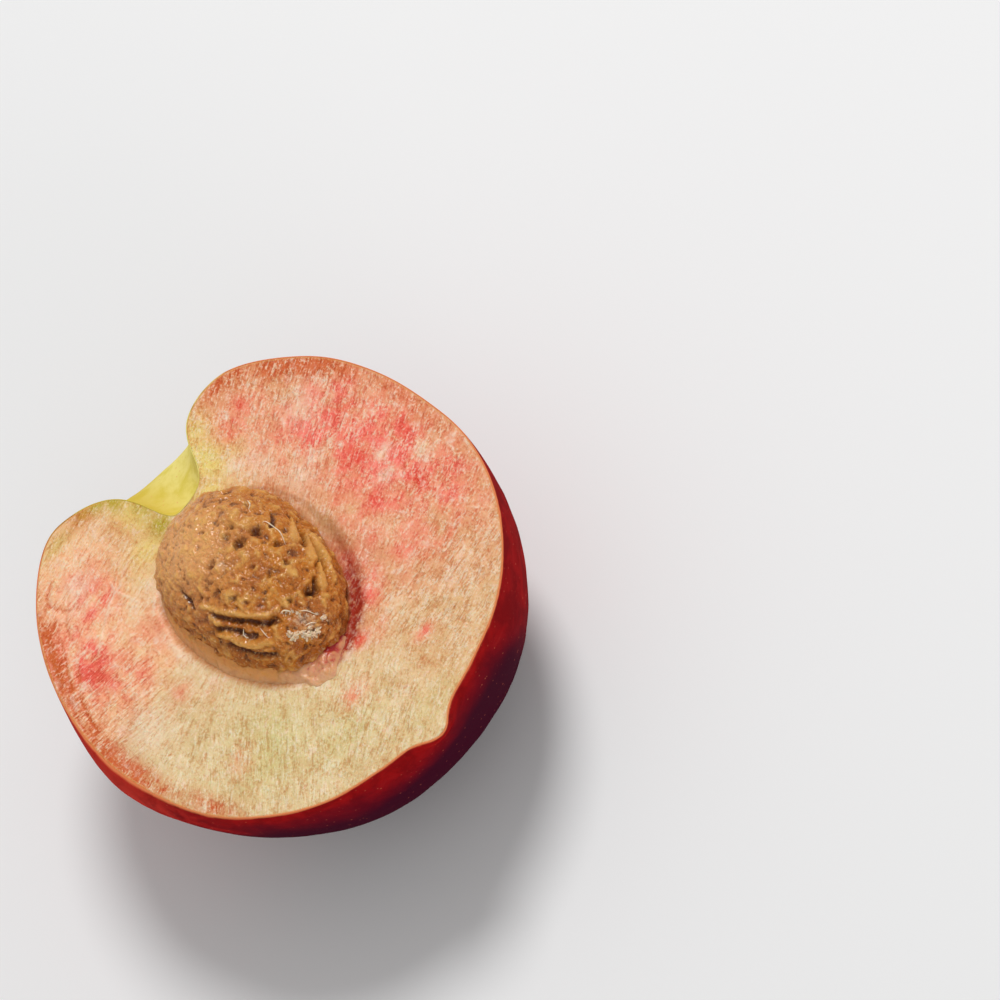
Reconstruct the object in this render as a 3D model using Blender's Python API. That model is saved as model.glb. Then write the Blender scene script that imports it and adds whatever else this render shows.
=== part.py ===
"""Half a peach, cut from stem to blossom tip, lying on its skin with the cut face up.

The stone is still in its hollow. The fruit is modelled around its stem axis, which lies in the cut
face: +Y points to the stem, -Y to the blossom tip, +Z out of the cut face. At the end everything is
moved so that the origin is at the middle of the half's footprint, on the surface it lies on.
"""
import math
import random

import bmesh
import bpy
import numpy as np
from mathutils import Matrix, Vector

MM = 0.001

# The outline of the cut face, in mm, as (distance from the stem axis, place along it). Each runs
# from the bottom of the stem funnel over the shoulder to the blossom tip.
RIGHT_OUTLINE = [
    (0, 19.4), (3.6, 20.1), (5.6, 22.2), (7.8, 26.9), (10.4, 29.5), (14.7, 30.6), (19.7, 29.6),
    (25.2, 25.2), (30.6, 18.1), (33.9, 9.2), (35.2, 0.0), (35.0, -9.2), (31.8, -18.5),
    (26.0, -26.4), (19.0, -31.8), (11.1, -34.9), (4.6, -36.7), (1.5, -38.9), (0, -39.3)]
LEFT_OUTLINE = [
    (0, 19.4), (1.8, 19.7), (2.9, 21.6), (4.6, 27.2), (7.2, 30.8), (11.6, 33.2), (17.0, 33.7),
    (22.9, 30.1), (28.8, 23.3), (33.2, 14.0), (35.4, 2.0), (34.5, -8.6), (31.0, -19.3),
    (25.0, -27.1), (18.0, -32.5), (10.0, -35.5), (4.6, -36.9), (1.6, -38.8), (0, -39.3)]
# The same run straight down the middle of the back, as (depth below the cut face, place).
BACK_OUTLINE = [
    (0, 19.4), (2.6, 19.9), (4.2, 22.2), (6.2, 28.0), (8.6, 32.2), (12.8, 34.4), (18.4, 33.3),
    (24.4, 28.6), (29.8, 21.4), (33.6, 12.0), (35.4, 1.0), (35.2, -9.5), (32.4, -19.4),
    (26.7, -28.0), (18.8, -33.8), (10.4, -36.6), (4.7, -37.5), (1.7, -38.9), (0, -39.3)]

RIGHT_FLANK_FULLNESS = 1.5 * MM  # how far the flanks of the tip end stand out past an even blend
LEFT_FLANK_FULLNESS = 0.9 * MM
FLANK_FULL_FROM = -8.0 * MM     # the flanks reach full size from here towards the tip
FLANK_FULL_UNTIL = 14.0 * MM    # and have died away here, towards the stem
CHEEK_BULGE = 2.5 * MM          # the left cheek swells out under the cut face
CHEEK_DEPTH = 8.0 * MM          # the depth at which it swells most
CHEEK_PLACE = -1.0 * MM         # its middle along the stem axis
CHEEK_LENGTH = 17.0 * MM
FLANK_REACH = 12.0 * MM         # nearer the stem axis than this, flanks and cheek taper off
SHOULDER_SLOPE = 0.12           # the back shoulder stands higher on the left than on the right
SHOULDER_FROM = 10.0 * MM       # where this starts along the stem axis
SHOULDER_TO = 25.0 * MM         # and where it is in full

REST_SPOT_SAG = 1.1 * MM        # the back is pressed flat this much where the half lies on it

STONE_LENGTH = 33.8 * MM        # along the stem axis
STONE_WIDTH = 25.0 * MM         # across the cut face
STONE_THICKNESS = 21.2 * MM
STONE_CENTRE = Vector((-1.6, 0.5, 0.2)) * MM
STONE_SQUARENESS = 2.25         # the power of its superellipsoid; 2 would be an ellipsoid
STONE_TAPER = 0.12              # it is wider towards the stem than towards the tip
# Heights, spreads and sizes on the stone are shares of its half width.
KEEL_SHARE = 0.04               # the keel, a low ridge round the stone in the plane of the cut
KEEL_SPREAD = 0.16
STONE_PIT_COUNT = 150
STONE_PIT_DEPTH = 0.75 * MM
STONE_PIT_SIZES = (0.7, 1.3)
STONE_PIT_STRENGTHS = (0.5, 1.0)
STONE_PIT_SCATTER = 0.12
STONE_SEED = 41
PIT_ACROSS = 0.085
PIT_ALONG = 0.13
GROOVE_SHARE = 1.6              # the depth of the groove beside the keel, against a pit's
GROOVE_HEIGHT = 0.30
GROOVE_SPREAD = 0.09
NOTCH_SHARE = 0.6               # the depth of the notches over that groove
NOTCH_HEIGHT = 0.46
NOTCH_COUNT = 9

HOLLOW_GAP = 0.35 * MM          # between the stone's highest ridges and the flesh
RIM_WIDTH = 2.6 * MM            # the soft slope round the hollow, at its widest
RIM_LEAST = 0.15                # its narrowest place, as a share of that
RIM_STEM_SHARE = 0.1            # and what is left of it beside the stem funnel
RIM_DEPTH = 3.2 * MM
RIM_WIDEST_AT = math.radians(-135.0)  # the bearing from +X of its widest place

FRUIT_SEGMENTS = 72
FRUIT_RINGS = 60
STONE_SEGMENTS = 52
STONE_RINGS = 44

SKIN_COLOUR = (0.42, 0.035, 0.03, 1.0)
FLESH_COLOUR = (0.86, 0.66, 0.42, 1.0)
STONE_COLOUR = (0.42, 0.22, 0.075, 1.0)

SKIN_SLOT = 0
CUT_SLOT = 1
UP = Vector((0.0, 0.0, 1.0))
MERGE_DISTANCE = 0.002 * MM
SHARP_ANGLE = math.radians(35.0)


def smooth_step(low, high, value):
    """0 at low, 1 at high, with an even start and end. low may be the larger."""
    share = min(1.0, max(0.0, (value - low) / (high - low)))
    return share * share * (3.0 - 2.0 * share)


def curve_point(outline, share):
    """A point on the smooth curve through the outline's points, share running from 0 to 1."""
    # Past each end the outline carries on mirrored in the stem axis, so the fruit's poles are round.
    before = (-outline[1][0], outline[1][1])
    after = (-outline[-2][0], outline[-2][1])
    points = [before] + outline + [after]
    place = share * (len(outline) - 1)
    step = min(int(place), len(outline) - 2)
    f = place - step
    a, b, c, d = (np.array(points[step + i], dtype=float) for i in range(4))
    value = 2 * b + (c - a) * f + (2 * a - 5 * b + 4 * c - d) * f ** 2
    value = 0.5 * (value + (3 * b - a - 3 * c + d) * f ** 3)
    return max(0.0, value[0]) * MM, value[1] * MM


def skin_point(turn, share):
    """A point on the skin. turn goes round the stem axis from +X, down through -Z, to -X."""
    side = RIGHT_OUTLINE if math.cos(turn) >= 0.0 else LEFT_OUTLINE
    side_radius, side_y = curve_point(side, share)
    back_radius, back_y = curve_point(BACK_OUTLINE, share)
    back_share = math.sin(turn) ** 2
    radius = (1.0 - back_share) * side_radius + back_share * back_radius
    y = (1.0 - back_share) * side_y + back_share * back_y
    flank = RIGHT_FLANK_FULLNESS if math.cos(turn) >= 0.0 else LEFT_FLANK_FULLNESS
    flank *= smooth_step(FLANK_FULL_UNTIL, FLANK_FULL_FROM, y) * min(1.0, radius / FLANK_REACH)
    radius += flank * math.sin(2.0 * turn) ** 2
    x = radius * math.cos(turn)
    depth = radius * math.sin(turn)
    if x < 0.0 < depth:
        rise = depth / CHEEK_DEPTH
        near = math.exp(-((y - CHEEK_PLACE) / CHEEK_LENGTH) ** 2) * min(1.0, radius / FLANK_REACH)
        x -= CHEEK_BULGE * near * rise * math.exp(1.0 - rise)
    y -= SHOULDER_SLOPE * x * back_share * smooth_step(SHOULDER_FROM, SHOULDER_TO, y)
    return Vector((x, y, -depth))


def stone_surface(direction, clearance):
    """The point where the stone's even hull, grown by a clearance, meets a direction."""
    half = Vector((STONE_WIDTH, STONE_LENGTH, STONE_THICKNESS)) / 2.0
    half *= sum(abs(part) ** STONE_SQUARENESS for part in direction) ** (-1.0 / STONE_SQUARENESS)
    girth = 1.0 + STONE_TAPER * direction.y
    keel = KEEL_SHARE * math.exp(-(direction.z / KEEL_SPREAD) ** 2) * (1.0 - direction.y ** 2)
    girth += keel - KEEL_SHARE
    point = Vector((direction.x * half.x * girth, direction.y * half.y, direction.z * half.z * girth))
    return STONE_CENTRE + point + direction * clearance


def scattered_directions(count, seed):
    """Directions spread over the sphere, each jittered a little."""
    draw = random.Random(seed)
    golden = math.pi * (3.0 - math.sqrt(5.0))
    found = []
    for index in range(count):
        height = 1.0 - 2.0 * (index + 0.5) / count
        width = math.sqrt(1.0 - height * height)
        angle = golden * index
        point = Vector((width * math.cos(angle), height, width * math.sin(angle)))
        jitter = Vector([draw.uniform(-STONE_PIT_SCATTER, STONE_PIT_SCATTER) for _ in range(3)])
        strength = draw.uniform(*STONE_PIT_STRENGTHS)
        found.append(((point + jitter).normalized(), strength, draw.uniform(*STONE_PIT_SIZES)))
    return found


def stone_relief(direction, pits):
    """How deep the stone's surface lies under its hull here: pits, and a notched groove by the keel."""
    deepest = 0.0
    for centre, strength, size in pits:
        # The pits are longer along the stone than across it.
        offset = direction - centre
        across = math.hypot(offset.x, offset.z) / (PIT_ACROSS * size)
        along = offset.y / (PIT_ALONG * size)
        deepest = max(deepest, strength * math.exp(-(across ** 2 + along ** 2)))
    keel_side = smooth_step(-0.1, 0.4, direction.x) * (1.0 - direction.y ** 2)
    groove = GROOVE_SHARE * math.exp(-((direction.z - GROOVE_HEIGHT) / GROOVE_SPREAD) ** 2)
    notches = NOTCH_SHARE * (0.5 + 0.5 * math.sin(NOTCH_COUNT * math.pi * direction.y))
    notches *= math.exp(-((direction.z - NOTCH_HEIGHT) / GROOVE_SPREAD) ** 2)
    return STONE_PIT_DEPTH * max(deepest, groove * keel_side, notches * keel_side)


def ball(segments, rings):
    """A unit sphere primitive whose poles lie on Y."""
    shape = bmesh.new()
    bmesh.ops.create_uvsphere(shape, u_segments=segments, v_segments=rings, radius=1.0)
    bmesh.ops.rotate(shape, verts=shape.verts, matrix=Matrix.Rotation(math.radians(-90.0), 3, "X"))
    return shape


def slice_flat(shape, height, normal, material_index):
    """Cut off what lies past a level, on the side that normal points to, and close the cut."""
    everything = shape.verts[:] + shape.edges[:] + shape.faces[:]
    level = Vector((0.0, 0.0, height))
    bmesh.ops.bisect_plane(
        shape, geom=everything, dist=MERGE_DISTANCE, plane_co=level, plane_no=normal, clear_outer=True)
    rim = [edge for edge in shape.edges if edge.is_boundary]
    face = bmesh.ops.contextual_create(shape, geom=rim)["faces"][0]
    face.material_index = material_index
    face.smooth = False


def principled(name, colour, roughness):
    material = bpy.data.materials.new(name)
    material.use_nodes = True
    shader = material.node_tree.nodes["Principled BSDF"]
    shader.inputs["Base Color"].default_value = colour
    shader.inputs["Roughness"].default_value = roughness
    shader.inputs["Metallic"].default_value = 0.0
    return material


def placed_object(name, shape, materials, collection, parent):
    """Turn a finished shape into a named object that hangs on the stem axis."""
    bmesh.ops.recalc_face_normals(shape, faces=shape.faces)
    mesh = bpy.data.meshes.new(name)
    shape.to_mesh(mesh)
    shape.free()
    mesh.set_sharp_from_angle(angle=SHARP_ANGLE)
    for material in materials:
        mesh.materials.append(material)
    thing = bpy.data.objects.new(name, mesh)
    thing.parent = parent
    collection.objects.link(thing)
    return thing


def make_flesh(collection, parent, materials):
    """The half: a ball shaped from the outlines, cut through the stem axis and flattened below."""
    shape = ball(FRUIT_SEGMENTS, FRUIT_RINGS)
    for vertex in shape.verts:
        share = math.acos(max(-1.0, min(1.0, vertex.co.y))) / math.pi
        turn = math.atan2(-vertex.co.z, vertex.co.x)
        vertex.co = skin_point(turn, share)
    for face in shape.faces:
        face.smooth = True
    slice_flat(shape, 0.0, UP, CUT_SLOT)
    lowest = min(vertex.co.z for vertex in shape.verts)
    slice_flat(shape, lowest + REST_SPOT_SAG, -UP, SKIN_SLOT)
    return placed_object("flesh", shape, materials, collection, parent)


def make_stone(collection, parent, material):
    pits = scattered_directions(STONE_PIT_COUNT, STONE_SEED)
    shape = ball(STONE_SEGMENTS, STONE_RINGS)
    for vertex in shape.verts:
        direction = vertex.co.normalized()
        vertex.co = stone_surface(direction, -stone_relief(direction, pits))
    for face in shape.faces:
        face.smooth = True
    return placed_object("pit", shape, [material], collection, parent)


def rim_reach(direction, depth):
    """How far the hollow's soft edge stands back from the stone here."""
    bearing = math.atan2(direction.y, direction.x)
    widest = (0.5 + 0.5 * math.cos(bearing - RIM_WIDEST_AT)) ** 2
    reach = RIM_WIDTH * (RIM_LEAST + (1.0 - RIM_LEAST) * widest)
    reach *= 1.0 - (1.0 - RIM_STEM_SHARE) * smooth_step(0.55, 0.9, direction.y)
    return reach * (1.0 - smooth_step(0.0, RIM_DEPTH, depth))


def make_hollow_cutter(collection, parent, material):
    """The space that the stone sits in, with a soft slope round its edge in the cut face."""
    shape = ball(STONE_SEGMENTS, STONE_RINGS)
    for vertex in shape.verts:
        direction = vertex.co.normalized()
        point = stone_surface(direction, HOLLOW_GAP)
        outward = Vector((direction.x, direction.y, 0.0))
        vertex.co = point + outward * rim_reach(direction, -point.z)
    cutter = placed_object("hollow_cutter", shape, [material], collection, parent)
    cutter.hide_render = True
    cutter.display_type = "WIRE"
    return cutter


def cut_hollow(flesh, cutter):
    modifier = flesh.modifiers.new("pit_hollow", "BOOLEAN")
    modifier.operation = "DIFFERENCE"
    modifier.solver = "EXACT"
    modifier.material_mode = "TRANSFER"
    modifier.object = cutter


def stand_on_origin(axis, flesh):
    """Move the stem axis so that the half's footprint is centred on the origin, its lowest at 0."""
    points = [vertex.co for vertex in flesh.data.vertices]
    low = Vector([min(point[i] for point in points) for i in range(3)])
    high = Vector([max(point[i] for point in points) for i in range(3)])
    axis.location = (-(low.x + high.x) / 2.0, -(low.y + high.y) / 2.0, -low.z)


def main():
    for thing in list(bpy.data.objects):
        bpy.data.objects.remove(thing, do_unlink=True)
    parts = bpy.data.collections.new("peach_half")
    cutters = bpy.data.collections.new("cutters")
    bpy.context.scene.collection.children.link(parts)
    bpy.context.scene.collection.children.link(cutters)
    axis = bpy.data.objects.new("stem_axis", None)
    parts.objects.link(axis)

    skin = principled("peach_skin", SKIN_COLOUR, 0.4)
    cut_flesh = principled("cut_flesh", FLESH_COLOUR, 0.35)
    shell = principled("stone_shell", STONE_COLOUR, 0.6)

    flesh = make_flesh(parts, axis, [skin, cut_flesh])
    make_stone(parts, axis, shell)
    cutter = make_hollow_cutter(cutters, axis, cut_flesh)
    cut_hollow(flesh, cutter)
    stand_on_origin(axis, flesh)


main()
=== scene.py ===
import math

import bmesh
import bpy
import numpy as np
from mathutils import Matrix, Vector, geometry, kdtree


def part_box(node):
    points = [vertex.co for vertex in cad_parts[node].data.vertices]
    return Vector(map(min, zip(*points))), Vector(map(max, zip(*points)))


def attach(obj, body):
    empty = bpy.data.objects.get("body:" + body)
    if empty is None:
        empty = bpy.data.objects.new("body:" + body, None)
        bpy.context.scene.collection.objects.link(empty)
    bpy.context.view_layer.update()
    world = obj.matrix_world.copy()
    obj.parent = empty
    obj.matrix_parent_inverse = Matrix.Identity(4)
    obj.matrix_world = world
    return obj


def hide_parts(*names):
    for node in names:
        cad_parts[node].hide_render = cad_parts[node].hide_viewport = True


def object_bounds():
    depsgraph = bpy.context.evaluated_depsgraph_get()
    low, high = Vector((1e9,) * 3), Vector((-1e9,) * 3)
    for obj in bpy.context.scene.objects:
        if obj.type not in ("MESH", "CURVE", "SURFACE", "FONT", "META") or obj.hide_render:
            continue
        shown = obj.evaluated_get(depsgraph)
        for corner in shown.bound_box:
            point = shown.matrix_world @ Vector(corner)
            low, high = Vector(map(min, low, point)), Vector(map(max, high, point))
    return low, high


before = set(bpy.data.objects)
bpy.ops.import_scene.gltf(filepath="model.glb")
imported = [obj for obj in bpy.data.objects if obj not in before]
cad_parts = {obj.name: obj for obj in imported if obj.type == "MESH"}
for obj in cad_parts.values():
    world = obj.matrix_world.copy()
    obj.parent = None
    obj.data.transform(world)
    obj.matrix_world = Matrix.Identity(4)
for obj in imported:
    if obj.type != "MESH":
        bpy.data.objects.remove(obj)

cad_low, cad_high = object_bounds()
MM = 0.001

# The outline of the cut face, in mm, as (distance from the stem axis, place along it), from the
# bottom of the stem funnel over the shoulder to the blossom tip. The back outline is the same run
# straight down the middle of the back.
RIGHT_OUTLINE = [
    (0, 19.4), (3.6, 20.1), (5.6, 22.2), (7.8, 26.9), (10.4, 29.5), (14.7, 30.6), (19.7, 29.6),
    (25.2, 25.2), (30.6, 18.1), (33.9, 9.2), (35.2, 0.0), (35.0, -9.2), (31.8, -18.5),
    (26.0, -26.4), (19.0, -31.8), (11.1, -34.9), (4.6, -36.7), (1.5, -38.9), (0, -39.3)]
LEFT_OUTLINE = [
    (0, 19.4), (1.8, 19.7), (2.9, 21.6), (4.6, 27.2), (7.2, 30.8), (11.6, 33.2), (17.0, 33.7),
    (22.9, 30.1), (28.8, 23.3), (33.2, 14.0), (35.4, 2.0), (34.5, -8.6), (31.0, -19.3),
    (25.0, -27.1), (18.0, -32.5), (10.0, -35.5), (4.6, -36.9), (1.6, -38.8), (0, -39.3)]
BACK_OUTLINE = [
    (0, 19.4), (2.6, 19.9), (4.2, 22.2), (6.2, 28.0), (8.6, 32.2), (12.8, 34.4), (18.4, 33.3),
    (24.4, 28.6), (29.8, 21.4), (33.6, 12.0), (35.4, 1.0), (35.2, -9.5), (32.4, -19.4),
    (26.7, -28.0), (18.8, -33.8), (10.4, -36.6), (4.7, -37.5), (1.7, -38.9), (0, -39.3)]
RIGHT_FLANK_FULLNESS = 1.5 * MM
LEFT_FLANK_FULLNESS = 0.9 * MM
FLANK_FULL_FROM = -8.0 * MM
FLANK_FULL_UNTIL = 14.0 * MM
CHEEK_BULGE = 2.5 * MM
CHEEK_DEPTH = 8.0 * MM
CHEEK_PLACE = -1.0 * MM
CHEEK_LENGTH = 17.0 * MM
FLANK_REACH = 12.0 * MM
SHOULDER_SLOPE = 0.12
SHOULDER_FROM = 10.0 * MM
SHOULDER_TO = 25.0 * MM

STONE_SIZE = np.array([25.0, 33.8, 21.2]) * MM
STONE_CENTRE = np.array([-1.6, 0.5, 0.2]) * MM
STONE_SQUARENESS = 2.25
STONE_TAPER = 0.12
KEEL_SHARE = 0.04
KEEL_SPREAD = 0.16

SKIN_THICKNESS = 0.16 * MM
LATTICE = 0.215 * MM            # the spacing of the cut face's points
LEAST_CLEARANCE = 0.6 * LATTICE
HOLLOW_GAP = 0.05 * MM

# The camera looks down on the cut face as the photograph does: tilted from its normal towards the
# blossom tip, rolled so that the stem points to the upper left, and aimed beside the fruit so that
# the stem axis falls where it does there.
CAMERA_TILT = math.radians(32.0)
CAMERA_ROLL = math.radians(48.5)
CAMERA_DISTANCE = 0.8
IMAGE_SIZE = 1000.0
AXIS_PIXEL = (267.0, 580.0)
PIXELS_PER_METRE = 6820.0
SENSOR_WIDTH = 36.0
CAMERA_CLIP = 0.01


def srgb(red, green, blue):
    """A colour from its display values out of 255, as linear light."""
    values = []
    for value in (red, green, blue):
        value /= 255.0
        values.append(value / 12.92 if value <= 0.04045 else ((value + 0.055) / 1.055) ** 2.4)
    return (*values, 1.0)


def ramp(low, high, value):
    """0 at low, 1 at high, with an even start and end. low may be the larger."""
    share = np.clip((value - low) / (high - low), 0.0, 1.0)
    return share * share * (3.0 - 2.0 * share)


# Smooth random fields

GRADIENTS = np.array([
    (1, 1, 0), (-1, 1, 0), (1, -1, 0), (-1, -1, 0), (1, 0, 1), (-1, 0, 1),
    (1, 0, -1), (-1, 0, -1), (0, 1, 1), (0, -1, 1), (0, 1, -1), (0, -1, -1)], dtype=float)


def lattice_gradients(corner, seed):
    """A fixed pseudo-random gradient for each whole-number corner."""
    mixed = corner[:, 0] * 73856093 ^ corner[:, 1] * 19349663 ^ corner[:, 2] * 83492791
    mixed = (mixed + seed * 2654435) & 0x7FFFFFFF
    mixed = ((mixed ^ (mixed >> 13)) * 1274126177) & 0x7FFFFFFF
    mixed = (mixed ^ (mixed >> 16)) & 0x7FFFFFFF
    return GRADIENTS[mixed % len(GRADIENTS)]


def noise(points, seed):
    """Smooth noise of about -1 to 1 with features about one unit across, one value a point."""
    base = np.floor(points).astype(np.int64)
    inside = points - base
    fade = inside ** 3 * (inside * (inside * 6.0 - 15.0) + 10.0)
    total = np.zeros(len(points))
    for corner in np.ndindex(2, 2, 2):
        offset = np.array(corner)
        gradient = lattice_gradients(base + offset, seed)
        weight = np.prod(np.where(offset == 1, fade, 1.0 - fade), axis=1)
        total += weight * ((inside - offset) * gradient).sum(axis=1)
    return total


def fractal(points, seed, octaves=3):
    total = np.zeros(len(points))
    for octave in range(octaves):
        total += noise(points * 2.0 ** octave, seed + octave) / 2.0 ** octave
    return total


def noise_vectors(points, *seeds):
    """A smooth random offset for each point, with one seed a direction."""
    return np.stack([noise(points, seed) for seed in seeds], axis=-1)


def spot(x, y, middle_x, middle_y, wide, long):
    """A soft round patch: 1 in its middle and fading out over its half width and half length."""
    return np.exp(-(((x - middle_x) / wide) ** 2 + ((y - middle_y) / long) ** 2))


def tapered(share, end):
    """1 along a line and 0 at its ends, with an even fall over the given share of it."""
    return ramp(0.0, end, share) * ramp(1.0, 1.0 - end, share)


# Curves

def curve(padded, place):
    """Points on the smooth curve through all points but the first and last, by place along it."""
    step = np.clip(place.astype(int), 0, len(padded) - 4)
    f = (place - step)[..., None]
    a, b, c, d = (padded[step + i] for i in range(4))
    value = 2 * b + (c - a) * f + (2 * a - 5 * b + 4 * c - d) * f ** 2
    return 0.5 * (value + (3 * b - a - 3 * c + d) * f ** 3)


def smooth_curve(points, count):
    """Even points on a smooth curve through the given points."""
    known = np.asarray(points, dtype=float)
    padded = np.vstack([2 * known[0] - known[1], known, 2 * known[-1] - known[-2]])
    return curve(padded, np.linspace(0.0, len(known) - 1.0, count))


def line_distance(points, line):
    """Each point's distance to a line through several points, and how far along it the nearest is."""
    best = np.full(len(points), np.inf)
    share = np.zeros(len(points))
    for index, (start, end) in enumerate(zip(line[:-1], line[1:])):
        step = end - start
        along = np.clip(((points - start) @ step) / (step @ step), 0.0, 1.0)
        gap = np.linalg.norm(points - (start + along[:, None] * step), axis=1)
        nearer = gap < best
        best = np.where(nearer, gap, best)
        share = np.where(nearer, (index + along) / (len(line) - 1), share)
    return best, share


# The fruit's skin

def curve_points(outline, shares):
    """Points on the smooth curve through the outline's points, shares running from 0 to 1."""
    known = np.array(outline, dtype=float) * MM
    mirror = np.array([-1.0, 1.0])
    padded = np.vstack([known[1] * mirror, known, known[-2] * mirror])
    value = curve(padded, shares * (len(outline) - 1))
    return np.maximum(value[..., 0], 0.0), value[..., 1]


def skin_points(turns, shares):
    """Points on the skin. turns go round the stem axis from +X, down through -Z, to -X."""
    right_radius, right_y = curve_points(RIGHT_OUTLINE, shares)
    left_radius, left_y = curve_points(LEFT_OUTLINE, shares)
    back_radius, back_y = curve_points(BACK_OUTLINE, shares)
    on_right = np.cos(turns) >= 0.0
    back_share = np.sin(turns) ** 2
    radius = (1.0 - back_share) * np.where(on_right, right_radius, left_radius) + back_share * back_radius
    y = (1.0 - back_share) * np.where(on_right, right_y, left_y) + back_share * back_y
    near_axis = np.minimum(1.0, radius / FLANK_REACH)
    flank = np.where(on_right, RIGHT_FLANK_FULLNESS, LEFT_FLANK_FULLNESS)
    flank = flank * ramp(FLANK_FULL_UNTIL, FLANK_FULL_FROM, y) * near_axis
    radius = radius + flank * np.sin(2.0 * turns) ** 2
    x = radius * np.cos(turns)
    depth = radius * np.sin(turns)
    rise = np.where(x < 0.0, np.maximum(depth, 0.0), 0.0) / CHEEK_DEPTH
    near = np.exp(-((y - CHEEK_PLACE) / CHEEK_LENGTH) ** 2) * near_axis
    x = x - CHEEK_BULGE * near * rise * np.exp(1.0 - rise)
    y = y - SHOULDER_SLOPE * x * back_share * ramp(SHOULDER_FROM, SHOULDER_TO, y)
    return np.stack([x, y, -depth], axis=-1)


def skin_normals(turns, shares):
    """Unit normals that point out of the skin."""
    little = 1e-3
    across = skin_points(turns + little, shares) - skin_points(turns - little, shares)
    low = np.clip(shares - little, 0.0, 1.0)
    high = np.clip(shares + little, 0.0, 1.0)
    along = skin_points(turns, high) - skin_points(turns, low)
    normal = np.cross(along, across)
    length = np.linalg.norm(normal, axis=-1, keepdims=True)
    return normal / np.maximum(length, 1e-12)


FINE_STEPS = 4000


def even_shares(count):
    """Shares whose points lie evenly along the outlines."""
    fine = np.linspace(0.0, 1.0, FINE_STEPS + 1)
    steps = np.zeros(len(fine) - 1)
    for outline in (RIGHT_OUTLINE, LEFT_OUTLINE, BACK_OUTLINE):
        radius, y = curve_points(outline, fine)
        steps += np.hypot(np.diff(radius), np.diff(y))
    travelled = np.concatenate([[0.0], np.cumsum(steps)])
    return np.interp(np.linspace(0.0, travelled[-1], count + 1), travelled, fine)


def skin_grid(rows, columns):
    """The skin's points and normals, in rows from the right outline, under the fruit, to the left."""
    grid = np.meshgrid(np.linspace(0.0, math.pi, rows + 1), even_shares(columns), indexing="ij")
    return skin_points(*grid), skin_normals(*grid)


# The stone's hull

def stone_hull(directions, clearance=0.0):
    """Where the stone's even hull, grown by a clearance, meets each direction from its middle."""
    power = STONE_SQUARENESS
    spread = (np.abs(directions) ** power).sum(axis=-1, keepdims=True) ** (-1.0 / power)
    ends = 1.0 - directions[..., 1:2] ** 2
    keel = KEEL_SHARE * np.exp(-(directions[..., 2:3] / KEEL_SPREAD) ** 2) * ends
    girth = 1.0 + STONE_TAPER * directions[..., 1:2] + keel - KEEL_SHARE
    swell = np.concatenate([girth, np.ones_like(girth), girth], axis=-1)
    return STONE_CENTRE + directions * STONE_SIZE / 2.0 * spread * swell + directions * clearance


def ring_directions(bearing, rise):
    """Unit directions by their bearing round the stone and their rise, -1 to 1."""
    rise = rise + np.zeros(len(bearing))
    flat = np.sqrt(np.maximum(0.0, 1.0 - rise ** 2))
    return np.stack([flat * np.cos(bearing), flat * np.sin(bearing), rise], axis=-1)


def rim_directions(bearing):
    """Directions from the stone's middle to the edge of its hollow, which lies in the cut face."""
    return ring_directions(bearing, -STONE_CENTRE[2] / (STONE_SIZE[2] / 2.0))


# Meshes

AXIS = Vector((0.0, 0.0, 0.0))


def place_axis():
    """Find the stem axis in the frame: the fruit's box is centred on the flesh solid's box."""
    low, high = (Vector(corner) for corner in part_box("flesh"))
    turns = np.linspace(0.0, math.pi, 181)[:, None]
    own = skin_points(turns, np.linspace(0.0, 1.0, 241)[None, :]).reshape(-1, 3)
    middle = (own.min(axis=0) + own.max(axis=0)) / 2.0
    AXIS.x = (low.x + high.x) / 2.0 - middle[0]
    AXIS.y = (low.y + high.y) / 2.0 - middle[1]
    AXIS.z = high.z


def shell_faces(ids):
    """Faces between rows of points whose first points are one point and whose last points are one."""
    last = ids.shape[1] - 2
    faces = []
    for row, following in zip(ids[:-1].tolist(), ids[1:].tolist()):
        for i in range(last + 1):
            a, b, c, d = row[i], following[i], following[i + 1], row[i + 1]
            if i == 0:
                faces.append((a, c, d))
            elif i == last:
                faces.append((a, b, c))
            else:
                faces.append((a, b, c, d))
    return faces


def new_piece(name, points, faces, material, node):
    """A finished mesh object from fruit coordinates, riding on the root body."""
    mesh = bpy.data.meshes.new(name)
    mesh.from_pydata((np.asarray(points) + np.array(AXIS)).tolist(), [], faces)
    mesh.validate()
    mesh.update()
    mesh.shade_smooth()
    mesh.materials.append(material)
    thing = bpy.data.objects.new(name, mesh)
    bpy.context.scene.collection.objects.link(thing)
    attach(thing, "root")
    if node:
        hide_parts(node)
    return thing


def paint(thing, **tones):
    """Keep one number a vertex under each name, for the material to read."""
    for name, values in tones.items():
        attribute = thing.data.attributes.new(name, "FLOAT", "POINT")
        attribute.data.foreach_set("value", np.asarray(values, dtype=np.float32))


def thicken(thing, thickness, offset):
    """Make a sheet a closed shell; offset says which way it grows, from -1 (inward) to 1."""
    shell = thing.modifiers.new("thickness", "SOLIDIFY")
    shell.thickness = thickness
    shell.offset = offset
    seen = thing.evaluated_get(bpy.context.evaluated_depsgraph_get())
    mesh = bpy.data.meshes.new_from_object(seen)
    thing.modifiers.clear()
    thing.data = mesh


def ball(subdivisions):
    """A unit sphere of triangles as a bmesh, to be freed by its user."""
    shape = bmesh.new()
    bmesh.ops.create_icosphere(shape, subdivisions=subdivisions, radius=1.0)
    return shape


def corners_and_faces(shape):
    """A bmesh's corners and faces. Frees it."""
    corners = np.array([tuple(vert.co) for vert in shape.verts])
    faces = [tuple(vert.index for vert in face.verts) for face in shape.faces]
    shape.free()
    return corners, faces


# Materials

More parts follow.
